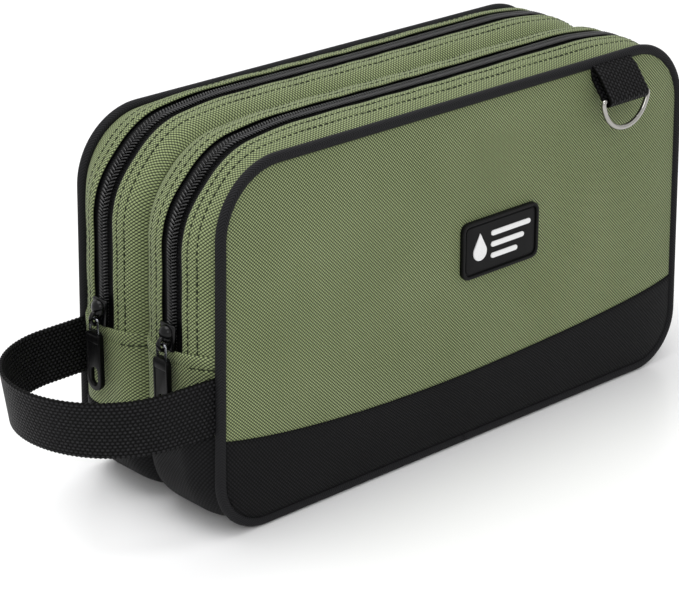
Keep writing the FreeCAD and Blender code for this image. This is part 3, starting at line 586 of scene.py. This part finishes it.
for side, centre, away in SIDES:
    rows = even_rows(centre + away * SEAM_REACH, MIDDLE_Y + away * SEAM_GAP, 44)
    hem = along_to(HEMS[side])
    for end in ("left", "right"):
        panel = flat_cloth(f"{side}_end_{end}", END_FOOT, hem, rows, 1.1 * MM)
        for point in panel.data.vertices:
            part = (point.co.y - rows[0]) / (rows[-1] - rows[0])
            to_hem = hem - point.co.x
            rise = 0.9 * MM * math.exp(-(to_hem / (9 * MM)) ** 2) + 0.3 * MM
            rise -= 0.5 * MM * math.exp(-(((to_hem - HEM_SEAM) / (0.7 * MM)) ** 2))
            rise -= 0.5 * MM * math.exp(-to_hem / (0.4 * MM))
            edge = min(part, 1 - part) / 0.08
            point.co.z = rise * min(edge, 1)
            sag = 0.9 * MM * math.sin(math.pi * 2 * part + 0.5) - 0.5 * MM
            point.co.x += sag * math.exp(-to_hem / (12 * MM))
        if end == "right":
            for point in panel.data.vertices:
                point.co.x = ALL_ROUND - point.co.x
            panel.data.flip_normals()
        puff_out(panel, 0.3 * MM)
        thicken(panel, 1.2 * MM)
        use(panel, green_cloth)
        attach(panel, "root")
        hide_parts(f"{side}_end_panel_{end}")

# Base wraps. Black polyester under each compartment and up both ends to the height of the
# bands, its top edge folded over the green and sewn down. The front one climbs to meet the
# band at the front seam.

WRAP_END = along_to(BAND_TOP)
WRAP_CLIMB = 7 * MM

for side, centre, away in SIDES:
    rows = even_rows(centre + away * SEAM_REACH, MIDDLE_Y + away * SEAM_GAP, 30)
    wrap = flat_cloth(side + "_wrap", -WRAP_END, WRAP_END, rows, 2 * MM)
    for point in wrap.data.vertices:
        to_edge = WRAP_END - abs(point.co.x)
        point.co.z = 1.1 * MM * math.exp(-(to_edge / (14 * MM)) ** 2)
        point.co.z -= 0.5 * MM * math.exp(-to_edge / (0.5 * MM))
        part = (point.co.y - rows[0]) / (rows[-1] - rows[0])
        point.co.z *= min(min(part, 1 - part) / 0.08, 1)
        point.co.z += 0.2 * MM
        if side == "front" and abs(point.co.x) > LOW_X:
            share = (abs(point.co.x) - LOW_X) / (WRAP_END - LOW_X)
            point.co.x += math.copysign(WRAP_CLIMB, point.co.x) * share * (1 - part) ** 2
    puff_out(wrap)
    thicken(wrap, 1.2 * MM)
    use(wrap, black_cloth)
    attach(wrap, "root")
    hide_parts(side + "_base_wrap")

# Zip tapes. Black woven polyester tape, flat and a little below the cloth that is folded
# back from it. One half goes with the lid and the other stays.

TAPE_DROP = 1.7 * MM
TAPE_UNDER = 1.6 * MM
CHAIN_GAP = 0.2 * MM
# The tape's gap colour is painted shade between its threads.
tape_cloth = woven(
    "black_zip_tape", "#121214", "#0C0C0D", "#020203", 0.9 * MM, 0.5, 0.0,
    slant=False, relief=0.1, shine=0.15,
)

for side, part, centre, outward in strips:
    rows = even_rows(centre + outward * CHAIN_GAP, centre + outward * (TAPE_HALF + TAPE_UNDER), 10)
    tape = flat_cloth(f"{side}_tape_{part}", STRIP_START, ALL_ROUND - STRIP_START, rows, 2 * MM)
    for point in tape.data.vertices:
        # A raised cord runs along the tape outside the coil.
        across = abs(point.co.y - centre)
        point.co.z += 0.25 * MM * math.exp(-(((across - 4.6 * MM) / (0.6 * MM)) ** 2))
    puff_out(tape, -TAPE_DROP)
    thicken(tape, 0.6 * MM)
    use(tape, tape_cloth)
    if part == "lid":
        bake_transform(tape)
    else:
        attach(tape, "root")
        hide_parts(side + "_zip_end_left", side + "_zip_end_right")
    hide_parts(f"{side}_zip_tape_{part}")

# Zip coils. Glossy black nylon monofilament, coiled and sewn to each tape. Each turn shows
# as a short slanting bar, and the two rows mesh in a line of chevrons.

TOOTH_PITCH = 1.42 * MM
TOOTH_LEAN = 0.42


def repeated(piece, pitch, count):
    """A row of copies along x."""
    row = piece.modifiers.new("row", "ARRAY")
    row.use_relative_offset = False
    row.use_constant_offset = True
    row.constant_offset_displace = (pitch, 0, 0)
    row.count = count
    apply_modifiers(piece)


def moulded(name, colour, rough, coat, grain=0.0, shine=0.5):
    """A plain plastic or enamel. Grain is a fine moulded texture, in millimetres deep."""
    surface = {"Roughness": rough, "IOR": 1.5, "Specular IOR Level": shine}
    surface |= {"Coat Weight": coat, "Coat Roughness": 0.15}
    material, tree, shader = new_material(name, surface)
    place = add_node(tree, "TexCoord").outputs["Object"]
    noise = add_node(tree, "TexNoise", {"Vector": place, "Scale": 3000.0, "Detail": 2.0}).outputs[0]
    dark = [c * 0.7 for c in linear(colour)[:3]] + [1]
    tint = add_node(tree, "Mix", {0: noise, 6: dark, 7: linear(colour)}, data_type="RGBA").outputs[2]
    tree.links.new(tint, shader.inputs["Base Color"])
    if grain:
        bump = add_node(tree, "Bump", {"Height": noise, "Distance": grain * MM, "Strength": 0.5}).outputs[0]
        tree.links.new(bump, shader.inputs["Normal"])
    return material


# Bright highlights on drawn nylon: smooth, IOR about 1.5.
coil_nylon = moulded("black_nylon_monofilament", "#0A0A0B", 0.26, 0.25, shine=0.4)

for side, part, centre, outward in strips:
    ball = bpy.ops.mesh.primitive_uv_sphere_add
    coil = added(ball, segments=8, ring_count=6, radius=1, rotation=(math.pi / 2, 0, 0))
    coil.name = f"{side}_coil_{part}"
    for point in coil.data.vertices:
        x, y, z = point.co
        point.co = Vector((0.46 * MM * x, 1.75 * MM * y, 0.85 * MM * z))
        reach = point.co.y + 1.35 * MM
        point.co.x += TOOTH_LEAN * reach
        point.co.y = centre + outward * (reach + 0.05 * MM)
    if outward < 0:
        coil.data.flip_normals()
    first = STRIP_START + 2 * MM
    offset = TOOTH_PITCH / 2 if part == "lid" else 0
    coil.data.transform(Matrix.Translation((first + offset, 0, 0)))
    repeated(coil, TOOTH_PITCH, int((ALL_ROUND - 2 * first) / TOOTH_PITCH))
    puff_out(coil, -0.5 * MM)
    smoothed(coil)
    use(coil, coil_nylon)
    if part == "lid":
        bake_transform(coil)
    else:
        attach(coil, "root")
    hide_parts(f"{side}_zip_coil_{part}")

# Stitching. Dark green polyester thread in a lockstitch, two rows beside each zip and one
# along each hem. Each stitch is a short bar that dips into the cloth at both ends.

STITCH_PITCH = 3.3 * MM
STITCH_LONG = 2.5 * MM
THREAD_R = 0.3 * MM
thread_green = moulded("dark_green_thread", "#232B18", 0.7, 0.0, shine=0.2)


def stitch_row(start, end, y):
    """A row of stitches along x, flat on the cloth."""
    rod = bpy.ops.mesh.primitive_cylinder_add
    row = added(rod, vertices=6, radius=THREAD_R, depth=STITCH_LONG, rotation=(0, math.pi / 2, 0))
    cut_across(row, [((x, 0, 0), (1, 0, 0)) for x in (-0.6 * MM, 0.6 * MM)])
    for point in row.data.vertices:
        if abs(point.co.x) > 1 * MM:
            point.co.z -= 0.5 * MM
        point.co += Vector((start, y, 0))
    repeated(row, STITCH_PITCH, int((end - start) / STITCH_PITCH))
    return row


def joined(pieces, name):
    bpy.ops.object.select_all(action="DESELECT")
    for piece in pieces:
        piece.select_set(True)
    bpy.context.view_layer.objects.active = pieces[0]
    bpy.ops.object.join()
    whole = bpy.context.object
    whole.name = name
    whole.data.name = name
    return whole


for side, part, centre, outward in strips:
    begin = along_to(HEMS[side]) + 1 * MM
    rows = [stitch_row(begin, ALL_ROUND - begin, centre + outward * row) for row in STITCH_ROWS]
    stitches = joined(rows, f"{side}_stitches_{part}")
    puff_out(stitches, 0.0)
    use(stitches, thread_green)
    if part == "lid":
        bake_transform(stitches)
    else:
        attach(stitches, "root")

for side, centre, away in SIDES:
    hem = along_to(HEMS[side])
    spans = [(centre + away * TAPE_HALF, centre + away * (SEAM_REACH - 2 * MM))]
    spans.append((centre - away * TAPE_HALF, MIDDLE_Y + away * 2.5 * MM))
    for end in ("left", "right"):
        rows = []
        for first, last in spans:
            low, high = min(first, last), max(first, last)
            row = stitch_row(low, high, 0)
            for point in row.data.vertices:
                across, beside = point.co.x, point.co.y
                length = hem - HEM_SEAM + beside
                point.co.x = length if end == "left" else ALL_ROUND - length
                point.co.y = across
            rows.append(row)
        stitches = joined(rows, f"{side}_hem_stitches_{end}")
        puff_out(stitches, 1.1 * MM)
        use(stitches, thread_green)
        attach(stitches, "root")

bpy.data.objects.remove(seam)

# Zip sliders. Die-cast zinc in black enamel: a rounded shell over the coil with a domed top,
# a flat plate under it and an arched bail, in which the pull's wire link turns.

BACK_TO_AXIS = 7.4 * MM
# Enamel over zinc is smooth and glossy with a thin clear coat.
enamel = moulded("black_enamel_on_zinc", "#050506", 0.24, 0.12, grain=0.01, shine=0.16)


def rounded(piece, width):
    """Rounds a piece's edges and smooths it."""
    edge = piece.modifiers.new("edge", "BEVEL")
    edge.width = width
    edge.segments = 3
    edge.limit_method = "ANGLE"
    apply_modifiers(piece)
    bpy.ops.object.shade_smooth_by_angle(angle=math.radians(40))


def added_cube(size, place):
    return added(bpy.ops.mesh.primitive_cube_add, size=1, location=place, scale=size)


for side in ("front", "back"):
    low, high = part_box(side + "_zip_slider")
    middle = (low + high) / 2
    # In its own frame the slider's back is +X, away from the bag is -X and +Z runs up the chain.
    top = added_cube((1.8 * MM, 9.4 * MM, 11.8 * MM), (-1.6 * MM, 0, 0))
    for point in top.data.vertices:
        if point.co.z < 0:
            point.co.y *= 0.74
    rounded(top, 1.0 * MM)
    under = added_cube((1.2 * MM, 9.0 * MM, 11.0 * MM), (3.5 * MM, 0, 0))
    rounded(under, 0.5 * MM)
    post = added_cube((4.6 * MM, 0.4 * MM, 3.6 * MM), (1.2 * MM, 0, 2 * MM))
    dome = added(bpy.ops.mesh.primitive_uv_sphere_add, segments=28, ring_count=16, radius=1)
    for point in dome.data.vertices:
        x, y, z = point.co
        point.co = Vector((-2.4 * MM + 3.1 * MM * x, 3.5 * MM * y * (1 + 0.22 * z), 1.6 * MM + 4.0 * MM * z))
    bail = added(
        bpy.ops.mesh.primitive_torus_add, major_segments=28, minor_segments=12,
        major_radius=2.9 * MM, minor_radius=0.8 * MM, rotation=(math.pi / 2, 0, 0),
    )
    for point in bail.data.vertices:
        point.co = Vector((point.co.x * 1.05 - 3.7 * MM, point.co.y * 1.3, point.co.z - 2.2 * MM))
    slider = joined([top, under, post, dome, bail], side + "_slider")
    smoothed(slider)
    place = Vector((low.x + BACK_TO_AXIS, middle.y, middle.z))
    slider.data.transform(Matrix.Translation(place) @ Matrix.Rotation(LEAN, 4, "Y"))
    make_active(slider)
    bpy.ops.object.shade_smooth_by_angle(angle=math.radians(40))
    use(slider, enamel)
    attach(slider, side + "_slider")
    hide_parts(side + "_zip_slider")

# Pull links. Steel wire bent into a staple: its bar turns in the bail and its two legs are
# moulded into the tab. It is polished and dark nickel plated.

WIRE_R = 0.62 * MM


def metal(name, colour, rough, worn):
    """Plated metal, with a slight change of polish over its length."""
    material, tree, shader = new_material(name, {"Metallic": 1.0})
    place = add_node(tree, "TexCoord").outputs["Object"]
    noise = add_node(tree, "TexNoise", {"Vector": place, "Scale": 260.0, "Detail": 3.0}).outputs[0]
    polish = add_node(tree, "MapRange", {0: noise, 1: 0.3, 2: 0.7, 3: rough, 4: rough + worn}).outputs[0]
    tree.links.new(polish, shader.inputs["Roughness"])
    dull = [c * 0.8 for c in linear(colour)[:3]] + [1]
    tint = add_node(tree, "Mix", {0: noise, 6: linear(colour), 7: dull}, data_type="RGBA").outputs[2]
    tree.links.new(tint, shader.inputs["Base Color"])
    return material


dark_nickel = metal("dark_nickel_plated_steel", "#8E9096", 0.16, 0.1)


def as_mesh(name, curve):
    make_active(placed(name, curve))
    bpy.ops.object.convert(target="MESH")
    return bpy.context.object


def wire(name, points, radius, closed):
    """Round wire along a smooth line that points of (x, y, z) pull into shape."""
    curve = bpy.data.curves.new(name, "CURVE")
    curve.dimensions = "3D"
    curve.bevel_depth = radius
    curve.bevel_resolution = 4
    curve.resolution_u = 10
    curve.use_fill_caps = not closed
    spline = curve.splines.new("NURBS")
    spline.points.add(len(points) - 1)
    for knot, point in zip(spline.points, points):
        knot.co = (*point, 1)
    spline.use_cyclic_u = closed
    spline.order_u = 3
    spline.use_endpoint_u = not closed
    piece = as_mesh(name, curve)
    smoothed(piece)
    return piece


for side in ("front", "back"):
    low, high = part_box(side + "_pull_link")
    x, y = (low.x + high.x) / 2, (low.y + high.y) / 2
    top = high.z - WIRE_R
    half = (high.y - low.y) / 2 - WIRE_R
    heights = (low.z - 1 * MM, low.z + 3 * MM, top - 1.2 * MM)
    left = [(x, y - half, z) for z in heights]
    bar = [(x, y - half, top), (x, y, top), (x, y + half, top)]
    link = wire(side + "_link", left + bar + [(x, y + half, z) for z in reversed(heights)], WIRE_R, False)
    use(link, dark_nickel)
    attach(link, side + "_puller")
    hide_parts(side + "_pull_link")

# Pull tabs. Soft black plastic moulded round the link's legs: a long flat tab with a
# round foot, a raised border and an oval slot.

TAB_CORNER = 1.4 * MM
# Moulded soft plastic is matte, and takes a wide soft highlight.
soft_plastic = moulded("black_moulded_tpu", "#070708", 0.4, 0.0, grain=0.02, shine=0.12)


def arc(x, y, radius, first, last, steps=10):
    """Points of an arc, in degrees."""
    angles = [math.radians(first + (last - first) * i / steps) for i in range(steps + 1)]
    return [(x + radius * math.cos(a), y + radius * math.sin(a)) for a in angles]


def rounded_box(left, right, bottom, top, radius):
    """A rectangle's outline with round corners, anticlockwise from its top right corner."""
    spots = (
        (right, top, -1, -1, 0), (left, top, 1, -1, 90),
        (left, bottom, 1, 1, 180), (right, bottom, -1, 1, 270),
    )
    points = []
    for x, y, in_x, in_y, turn in spots:
        points += arc(x + in_x * radius, y + in_y * radius, radius, turn, turn + 90, 6)
    return points


def cut_plate(name, outlines, thick, edge):
    """A plate in the XY plane with a rounded edge, cut to closed outlines; inner ones are holes."""
    curve = bpy.data.curves.new(name, "CURVE")
    curve.dimensions = "2D"
    curve.fill_mode = "BOTH"
    curve.extrude = thick / 2 - edge
    curve.bevel_depth = edge
    curve.bevel_resolution = 2
    curve.offset = -edge
    for outline in outlines:
        spline = curve.splines.new("POLY")
        spline.points.add(len(outline) - 1)
        for knot, (x, y) in zip(spline.points, outline):
            knot.co = (x, y, 0, 1)
        spline.use_cyclic_u = True
    plate = as_mesh(name, curve)
    sealed(plate, 0.01 * MM)
    bpy.ops.object.shade_smooth_by_angle(angle=math.radians(40))
    return plate


def stand_against_end(piece, place):
    """Turns a plate drawn in XY so that it hangs against the handle end, facing -X."""
    turn = Matrix(((0, 0, -1, 0), (-1, 0, 0, 0), (0, 1, 0, 0), (0, 0, 0, 1)))
    piece.data.transform(Matrix.Translation(place) @ turn)


for side in ("front", "back"):
    low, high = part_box(side + "_pull_tab")
    half, length = (high.y - low.y) / 2, high.z - low.z
    foot = arc(0, -length + half, half, 180, 360, 16)
    outline = foot + arc(half - TAB_CORNER, -TAB_CORNER, TAB_CORNER, 0, 90, 5)
    outline += arc(TAB_CORNER - half, -TAB_CORNER, TAB_CORNER, 90, 180, 5)
    slot_low = -length + 2.4 * MM + 2.2 * MM
    slot = arc(0, slot_low, 2.1 * MM, 180, 360, 12) + arc(0, slot_low + 3.8 * MM, 2.1 * MM, 0, 180, 12)
    plate = cut_plate(side + "_tab", [outline, slot], 2.0 * MM, 0.45 * MM)
    inner = [(x * 0.74, (y + 2.0 * MM) * 0.93 - 2.0 * MM + 0.6 * MM) for x, y in outline]
    border = cut_plate(side + "_tab_border", [outline, inner], 2.5 * MM, 0.3 * MM)
    collar = added_cube((2.5 * MM, 2 * half - 0.8 * MM, 4.2 * MM), (0, 0, 0))
    rounded(collar, 0.9 * MM)
    tab_place = Vector(((low.x + high.x) / 2, (low.y + high.y) / 2, high.z))
    for piece in (plate, border):
        stand_against_end(piece, tab_place)
    collar.data.transform(Matrix.Translation(tab_place - Vector((0, 0, 2.6 * MM))))
    tab = joined([plate, border, collar], side + "_tab")
    use(tab, soft_plastic)
    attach(tab, side + "_puller")
    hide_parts(side + "_pull_tab")

# Carry handle. 25 mm black polypropylene webbing in a loop from seam to seam, its two cut
# ends caught under the piping of the handle end.

WEBBING = 25 * MM
WEBBING_WALL = 1.5 * MM
HANDLE_LIFT = 2 * MM
HANDLE_LEAN = math.radians(9)
WEFT = 2.1 * MM
BEND_X = -160 * MM
BEND_R = 42.7 * MM
SEAM_X = -137.5 * MM


def webbing_cloth(name, rib, gap):
    """Coarse webbing: short ribs in rows, each row half a rib on from the last, with painted shade between
    them.
    """
    material, tree, shader = new_material(name, {"Roughness": 0.5, "Specular IOR Level": 0.07})
    flat = add_node(tree, "UVMap", uv_map="UVMap").outputs[0]
    split = add_node(tree, "SeparateXYZ", {0: flat})
    # Ribs 2.1 mm long in rows 1.55 mm wide, as on standard 25 mm webbing with 16 rows.
    row = add_node(tree, "Math", {0: split.outputs[1], 1: 1 / (1.55 * MM)}, operation="MULTIPLY").outputs[0]
    whole = add_node(tree, "Math", {0: row}, operation="FLOOR").outputs[0]
    step = add_node(tree, "Math", {0: split.outputs[0], 1: 1 / WEFT}, operation="MULTIPLY").outputs[0]
    moved = add_node(tree, "Math", {0: whole, 1: 0.5, 2: step}, operation="MULTIPLY_ADD").outputs[0]
    waves = dict(enumerate(ribs(tree, row, moved)))
    both = add_node(tree, "Math", waves, operation="MULTIPLY").outputs[0]
    height = add_node(tree, "MapRange", {0: both, 1: 0.15, 2: 0.95}).outputs[0]
    place = add_node(tree, "TexCoord").outputs["Object"]
    noise = add_node(tree, "TexNoise", {"Vector": place, "Scale": 900.0, "Detail": 2.0}).outputs[0]
    top = add_node(tree, "Mix", {0: noise, 6: linear(gap), 7: linear(rib)}, data_type="RGBA").outputs[2]
    # The gap colour laid in between the ribs is painted shade; the lighter rib colour on their tops is
    # partly a painted highlight on the black webbing.
    colour = add_node(tree, "Mix", {0: height, 6: linear(gap), 7: top}, data_type="RGBA").outputs[2]
    bump = add_node(tree, "Bump", {"Height": height, "Distance": 0.5 * MM, "Strength": 1.0}).outputs[0]
    tree.links.new(colour, shader.inputs["Base Color"])
    tree.links.new(bump, shader.inputs["Normal"])
    return material


webbing = webbing_cloth("black_polypropylene_webbing", "#38383A", "#010101")
webbing_rows = even_rows(-WEBBING / 2, WEBBING / 2, 16)

strap_low, strap_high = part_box("handle_strap")
strap_z = (strap_low.z + strap_high.z) / 2
arm = abs(BEND_X - SEAM_X)
strap_length = 2 * arm + math.pi * BEND_R
strap = flat_cloth("handle", -strap_length / 2, strap_length / 2, webbing_rows, 0.6 * MM)
for point in strap.data.vertices:
    along, across = point.co.x, point.co.y
    # Each weft thread turns back at the selvedge in a small scallop.
    if abs(across) > 12 * MM:
        across += math.copysign(0.22 * MM, across) * math.cos(2 * math.pi * along / WEFT)
    turn = along / BEND_R
    # The webbing leans in at its lower edge towards the far end of the loop.
    out = math.cos(max(min(turn, math.pi / 2), -math.pi / 2))
    lean = HANDLE_LEAN * out
    below = WEBBING / 2 - across
    radius = BEND_R - below * math.sin(lean) + 0.5 * MM * math.sin(along / (23 * MM))
    z = strap_z + HANDLE_LIFT + WEBBING / 2 - below * math.cos(lean)
    if abs(turn) <= math.pi / 2:
        point.co = Vector((BEND_X - radius * math.cos(turn), radius * math.sin(turn), z))
    else:
        spare = abs(along) - math.pi / 2 * BEND_R
        point.co = Vector((BEND_X + spare, math.copysign(radius + 0.7 * MM * spare / arm, turn), z))
strap.data.flip_normals()
shell = strap.modifiers.new("wall", "SOLIDIFY")
shell.thickness = WEBBING_WALL
shell.offset = 0
rounded(strap, 0.5 * MM)
use(strap, webbing)
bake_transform(strap)
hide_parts("handle_strap", "handle_end_front", "handle_end_back")

# Ring loop. A short length of the same webbing, folded round the ring's bar with both ends
# caught in the top front seam.

loop_low, loop_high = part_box("dring_loop")
bar = Vector(((loop_low.x + loop_high.x) / 2, -56.31 * MM, 144.69 * MM))
root = Vector((bar.x, -45.6 * MM, 158.6 * MM))
down = (bar - root).normalized()
out = Vector((0, down.z, -down.y))
if out.y > 0:
    out = -out
BAR_R = 1.4 * MM
run = (bar - root).length
radius = BAR_R + WEBBING_WALL / 2 + 0.1 * MM
fold = math.pi * radius
loop_length = 2 * run + fold
loop = flat_cloth("ring_loop", 0, loop_length, webbing_rows, 0.9 * MM)
for point in loop.data.vertices:
    along, across = point.co.x, point.co.y
    if along < run:
        squeeze = min(along / (6 * MM), 1)
        spot = root + down * along + out * radius * (0.35 + 0.65 * squeeze)
    elif along < run + fold:
        turn = (along - run) / radius
        spot = bar + out * radius * math.cos(turn) + down * radius * math.sin(turn)
    else:
        back = loop_length - along
        squeeze = min(back / (6 * MM), 1)
        spot = root + down * back - out * radius * (0.35 + 0.65 * squeeze)
    point.co = spot + Vector((across, 0, 0))
shell = loop.modifiers.new("wall", "SOLIDIFY")
shell.thickness = WEBBING_WALL * 0.8
shell.offset = 0
rounded(loop, 0.4 * MM)
sealed(loop, 0)
use(loop, webbing)
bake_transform(loop)
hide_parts("dring_loop")

# D-ring. 2.5 mm steel wire bent to a D and butt welded behind the webbing, in bright nickel.

nickel = metal("bright_nickel_plated_steel", "#A9A7A2", 0.1, 0.08)
RING_R = 14.3 * MM
RING_WIRE_R = 1.25 * MM
CORNER = 2.6 * MM
ring_points = [(-RING_R + CORNER, 0), (0, 0), (RING_R - CORNER, 0), (RING_R, 0), (RING_R, -CORNER)]
ring_points += arc(0, 0, RING_R, -18, -162, 14)
ring_points += [(-RING_R, -CORNER), (-RING_R, 0)]
ring = wire("ring", [(bar.x + x, bar.y, bar.z + z) for x, z in ring_points], RING_WIRE_R, True)
use(ring, nickel)
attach(ring, "ring")
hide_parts("d_ring")

# Patch. A badge of soft black rubber with a raised rim, sewn to the front through a groove,
# with a plain white drop and three bars moulded on it.

PATCH_WALL = 1.6 * MM
rubber = moulded("black_moulded_rubber", "#0C0C0D", 0.5, 0.0, grain=0.03, shine=0.12)
white_rubber = moulded("white_moulded_rubber", "#F2F2F2", 0.45, 0.1, grain=0.02)


def on_panel(piece, lift):
    """Stands a plate drawn in XY on the front panel, following its crown."""
    for point in piece.data.vertices:
        x, z, height = point.co
        spot = front_panel.ray_cast(Vector((x, -0.1, z)), Vector((0, 1, 0)))[1]
        point.co = Vector((x, spot.y - lift - height, z))


def gridded(plate, cell):
    """Cuts a plate's faces up so that it can follow a curve."""
    low = [min(p.co[i] for p in plate.data.vertices) for i in (0, 1)]
    high = [max(p.co[i] for p in plate.data.vertices) for i in (0, 1)]
    cuts = []
    for axis, normal in ((0, Vector((1, 0, 0))), (1, Vector((0, 1, 0)))):
        count = int((high[axis] - low[axis]) / cell)
        for i in range(1, count):
            cuts.append((normal * (low[axis] + (high[axis] - low[axis]) * i / count), normal))
    cut_across(plate, cuts)


patch_low, patch_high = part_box("patch")
RIM = 1.5 * MM
GROOVE = 2.4 * MM
frame_out, frame_in, field = (
    rounded_box(patch_low.x + inset, patch_high.x - inset, patch_low.z + inset, patch_high.z - inset, corner)
    for inset, corner in ((0, 4.0 * MM), (RIM, 2.8 * MM), (GROOVE, 2.2 * MM))
)
plate = cut_plate("patch_plate", [frame_out], PATCH_WALL, 0.3 * MM)
rim = cut_plate("patch_rim", [frame_out, frame_in], 2.6 * MM, 0.45 * MM)
face = cut_plate("patch_face", [field], 2.0 * MM, 0.25 * MM)
for part, lift in ((plate, 0.3), (rim, 0.8), (face, 0.5)):
    gridded(part, 5 * MM)
    on_panel(part, lift * MM)
patch = joined([plate, rim, face], "patch_badge")
use(patch, rubber)
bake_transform(patch)
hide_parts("patch")

drop_low, drop_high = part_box("patch_drop")
drop_x = (drop_low.x + drop_high.x) / 2
drop_r = (drop_high.x - drop_low.x) / 2
drop_z = drop_low.z + drop_r
spread = math.degrees(math.acos(drop_r / (drop_high.z - drop_z)))
drop_line = arc(drop_x, drop_z, drop_r, 90 + spread, 450 - spread, 24) + [(drop_x, drop_high.z)]
marks = {"patch_drop": drop_line}
for number in (1, 2, 3):
    low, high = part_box(f"patch_bar_{number}")
    bar_r = (high.z - low.z) / 2 - 0.01 * MM
    marks[f"patch_bar_{number}"] = rounded_box(low.x, high.x, low.z, high.z, bar_r)
for name, outline in marks.items():
    mark = cut_plate(name.replace("patch", "badge"), [outline], 1.2 * MM, 0.3 * MM)
    gridded(mark, 5 * MM)
    on_panel(mark, 1.5 * MM)
    use(mark, white_rubber)
    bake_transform(mark)
    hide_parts(name)

# Linings and dividers. Smooth dark grey polyester taffeta: a sheet behind each panel, one on
# each side of the middle seam and a strip round the inside of each gusset. They are sewn
# into the same seams as the outer cloth.

# The taffeta's gap colour is painted shade between its threads.
taffeta = woven(
    "grey_polyester_taffeta", "#55575C", "#4A4C50", "#33353A", 0.8 * MM, 0.45, 0.1, slant=False, relief=0.05
)
LINING_IN = 4.2 * MM
DIVIDER_IN = 7 * MM
LINING_WALL = 0.5 * MM
SEAM_ALLOWANCE = 5 * MM
seam = seam_line()

for side, centre, away in SIDES:
    for part, y in (("lining", away * 41.6 * MM), ("divider", away * 1.4 * MM)):
        inset = LINING_IN if part == "lining" else DIVIDER_IN
        sheet = panel_sheet(f"{side}_{part}", SEAM_Z + inset, y)
        for point in sheet.data.vertices:
            point.co.x *= 1 - inset / side_x(0)
            point.co.z -= max(point.co.z - HIGH_Z, 0) / HIGH_R * inset
            point.co.z = max(point.co.z, SEAM_Z + inset)
        if (part == "lining") == (side == "front"):
            sheet.data.flip_normals()
        thicken(sheet, LINING_WALL)
        use(sheet, taffeta)
        if part == "lining":
            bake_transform(sheet)
            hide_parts(side + "_lining_lid")
        else:
            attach(sheet, "root")
            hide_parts(side + "_lining_tub", "divider_wall")
    inner_y, outer_y = away * 1.6 * MM, away * 41.4 * MM
    zip_in, zip_out = centre - away * TAPE_HALF, centre + away * TAPE_HALF
    top_start = STRIP_START + 6 * MM
    pieces = (
        ("floor", -top_start, top_start, inner_y, outer_y, "root"),
        ("roof_fixed", top_start, ALL_ROUND - top_start, inner_y, zip_in, "root"),
        ("roof_lid", top_start, ALL_ROUND - top_start, zip_out, outer_y, side + "_flap"),
    )
    for part, start, end, first, last, body in pieces:
        rows = even_rows(first, last, 8)
        strip = flat_cloth(f"{side}_lining_{part}", start, end, rows, 3 * MM)
        for point in strip.data.vertices:
            point.co.z = -LINING_IN
            # Its inner edge turns down beside the divider, as a seam allowance.
            if abs(point.co.y) < 2 * MM:
                point.co.z -= SEAM_ALLOWANCE
        strip.data.flip_normals()
        if part == "floor":
            lay_round(strip)
        else:
            puff_out(strip)
        thicken(strip, LINING_WALL)
        use(strip, taffeta)
        if body == "root":
            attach(strip, "root")
        else:
            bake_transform(strip)
bpy.data.objects.remove(seam)

# The floor, the light and the camera. A pale studio table in a white room, with one large
# soft light above and a weaker one from the front left.

floor = added(bpy.ops.mesh.primitive_plane_add, size=30)
floor.name = "floor"
paper, tree, shader = new_material("white_studio_table", {"Roughness": 0.32})
place = add_node(tree, "TexCoord").outputs["Object"]
mottle = add_node(tree, "TexNoise", {"Vector": place, "Scale": 2.0}).outputs[0]
pale, paler = linear("#F4F4F5"), linear("#FAFAFA")
shade = add_node(tree, "Mix", {0: mottle, 6: pale, 7: paler}, data_type="RGBA").outputs[2]
tree.links.new(shade, shader.inputs["Base Color"])
floor.data.materials.append(paper)

world = bpy.data.worlds.new("white_room")
bpy.context.scene.world = world
world.use_nodes = True
world.node_tree.nodes["Background"].inputs[0].default_value = (1, 1, 1, 1)
world.node_tree.nodes["Background"].inputs[1].default_value = 0.9
bpy.context.scene.view_settings.view_transform = "Standard"


def soft_light(name, place, target, size, power):
    light = bpy.data.lights.new(name, "AREA")
    light.size = size
    light.energy = power
    lamp = placed(name, light)
    lamp.location = place
    lamp.rotation_euler = (Vector(target) - Vector(place)).to_track_quat("-Z", "Y").to_euler()


soft_light("above", (-0.3, 0.2, 1.5), (0, 0, 0.08), 1.1, 13)
soft_light("front_left", (-1.0, -1.0, 0.9), (0, 0, 0.08), 0.7, 4)

CAMERA_PLACE = (-0.7184, -0.7574, 0.4901)
CAMERA_YAW, CAMERA_DOWN, CAMERA_ROLL = (math.radians(angle) for angle in (42.27, 22.53, 0.09))
view = bpy.data.cameras.new("view")
view.lens = 133.4
view.sensor_width = 36
view.shift_x = -0.003
view.shift_y = -0.001
camera = placed("view", view)
camera.location = CAMERA_PLACE
camera.rotation_euler = (math.pi / 2 - CAMERA_DOWN, CAMERA_ROLL, -CAMERA_YAW)
bpy.context.scene.camera = camera
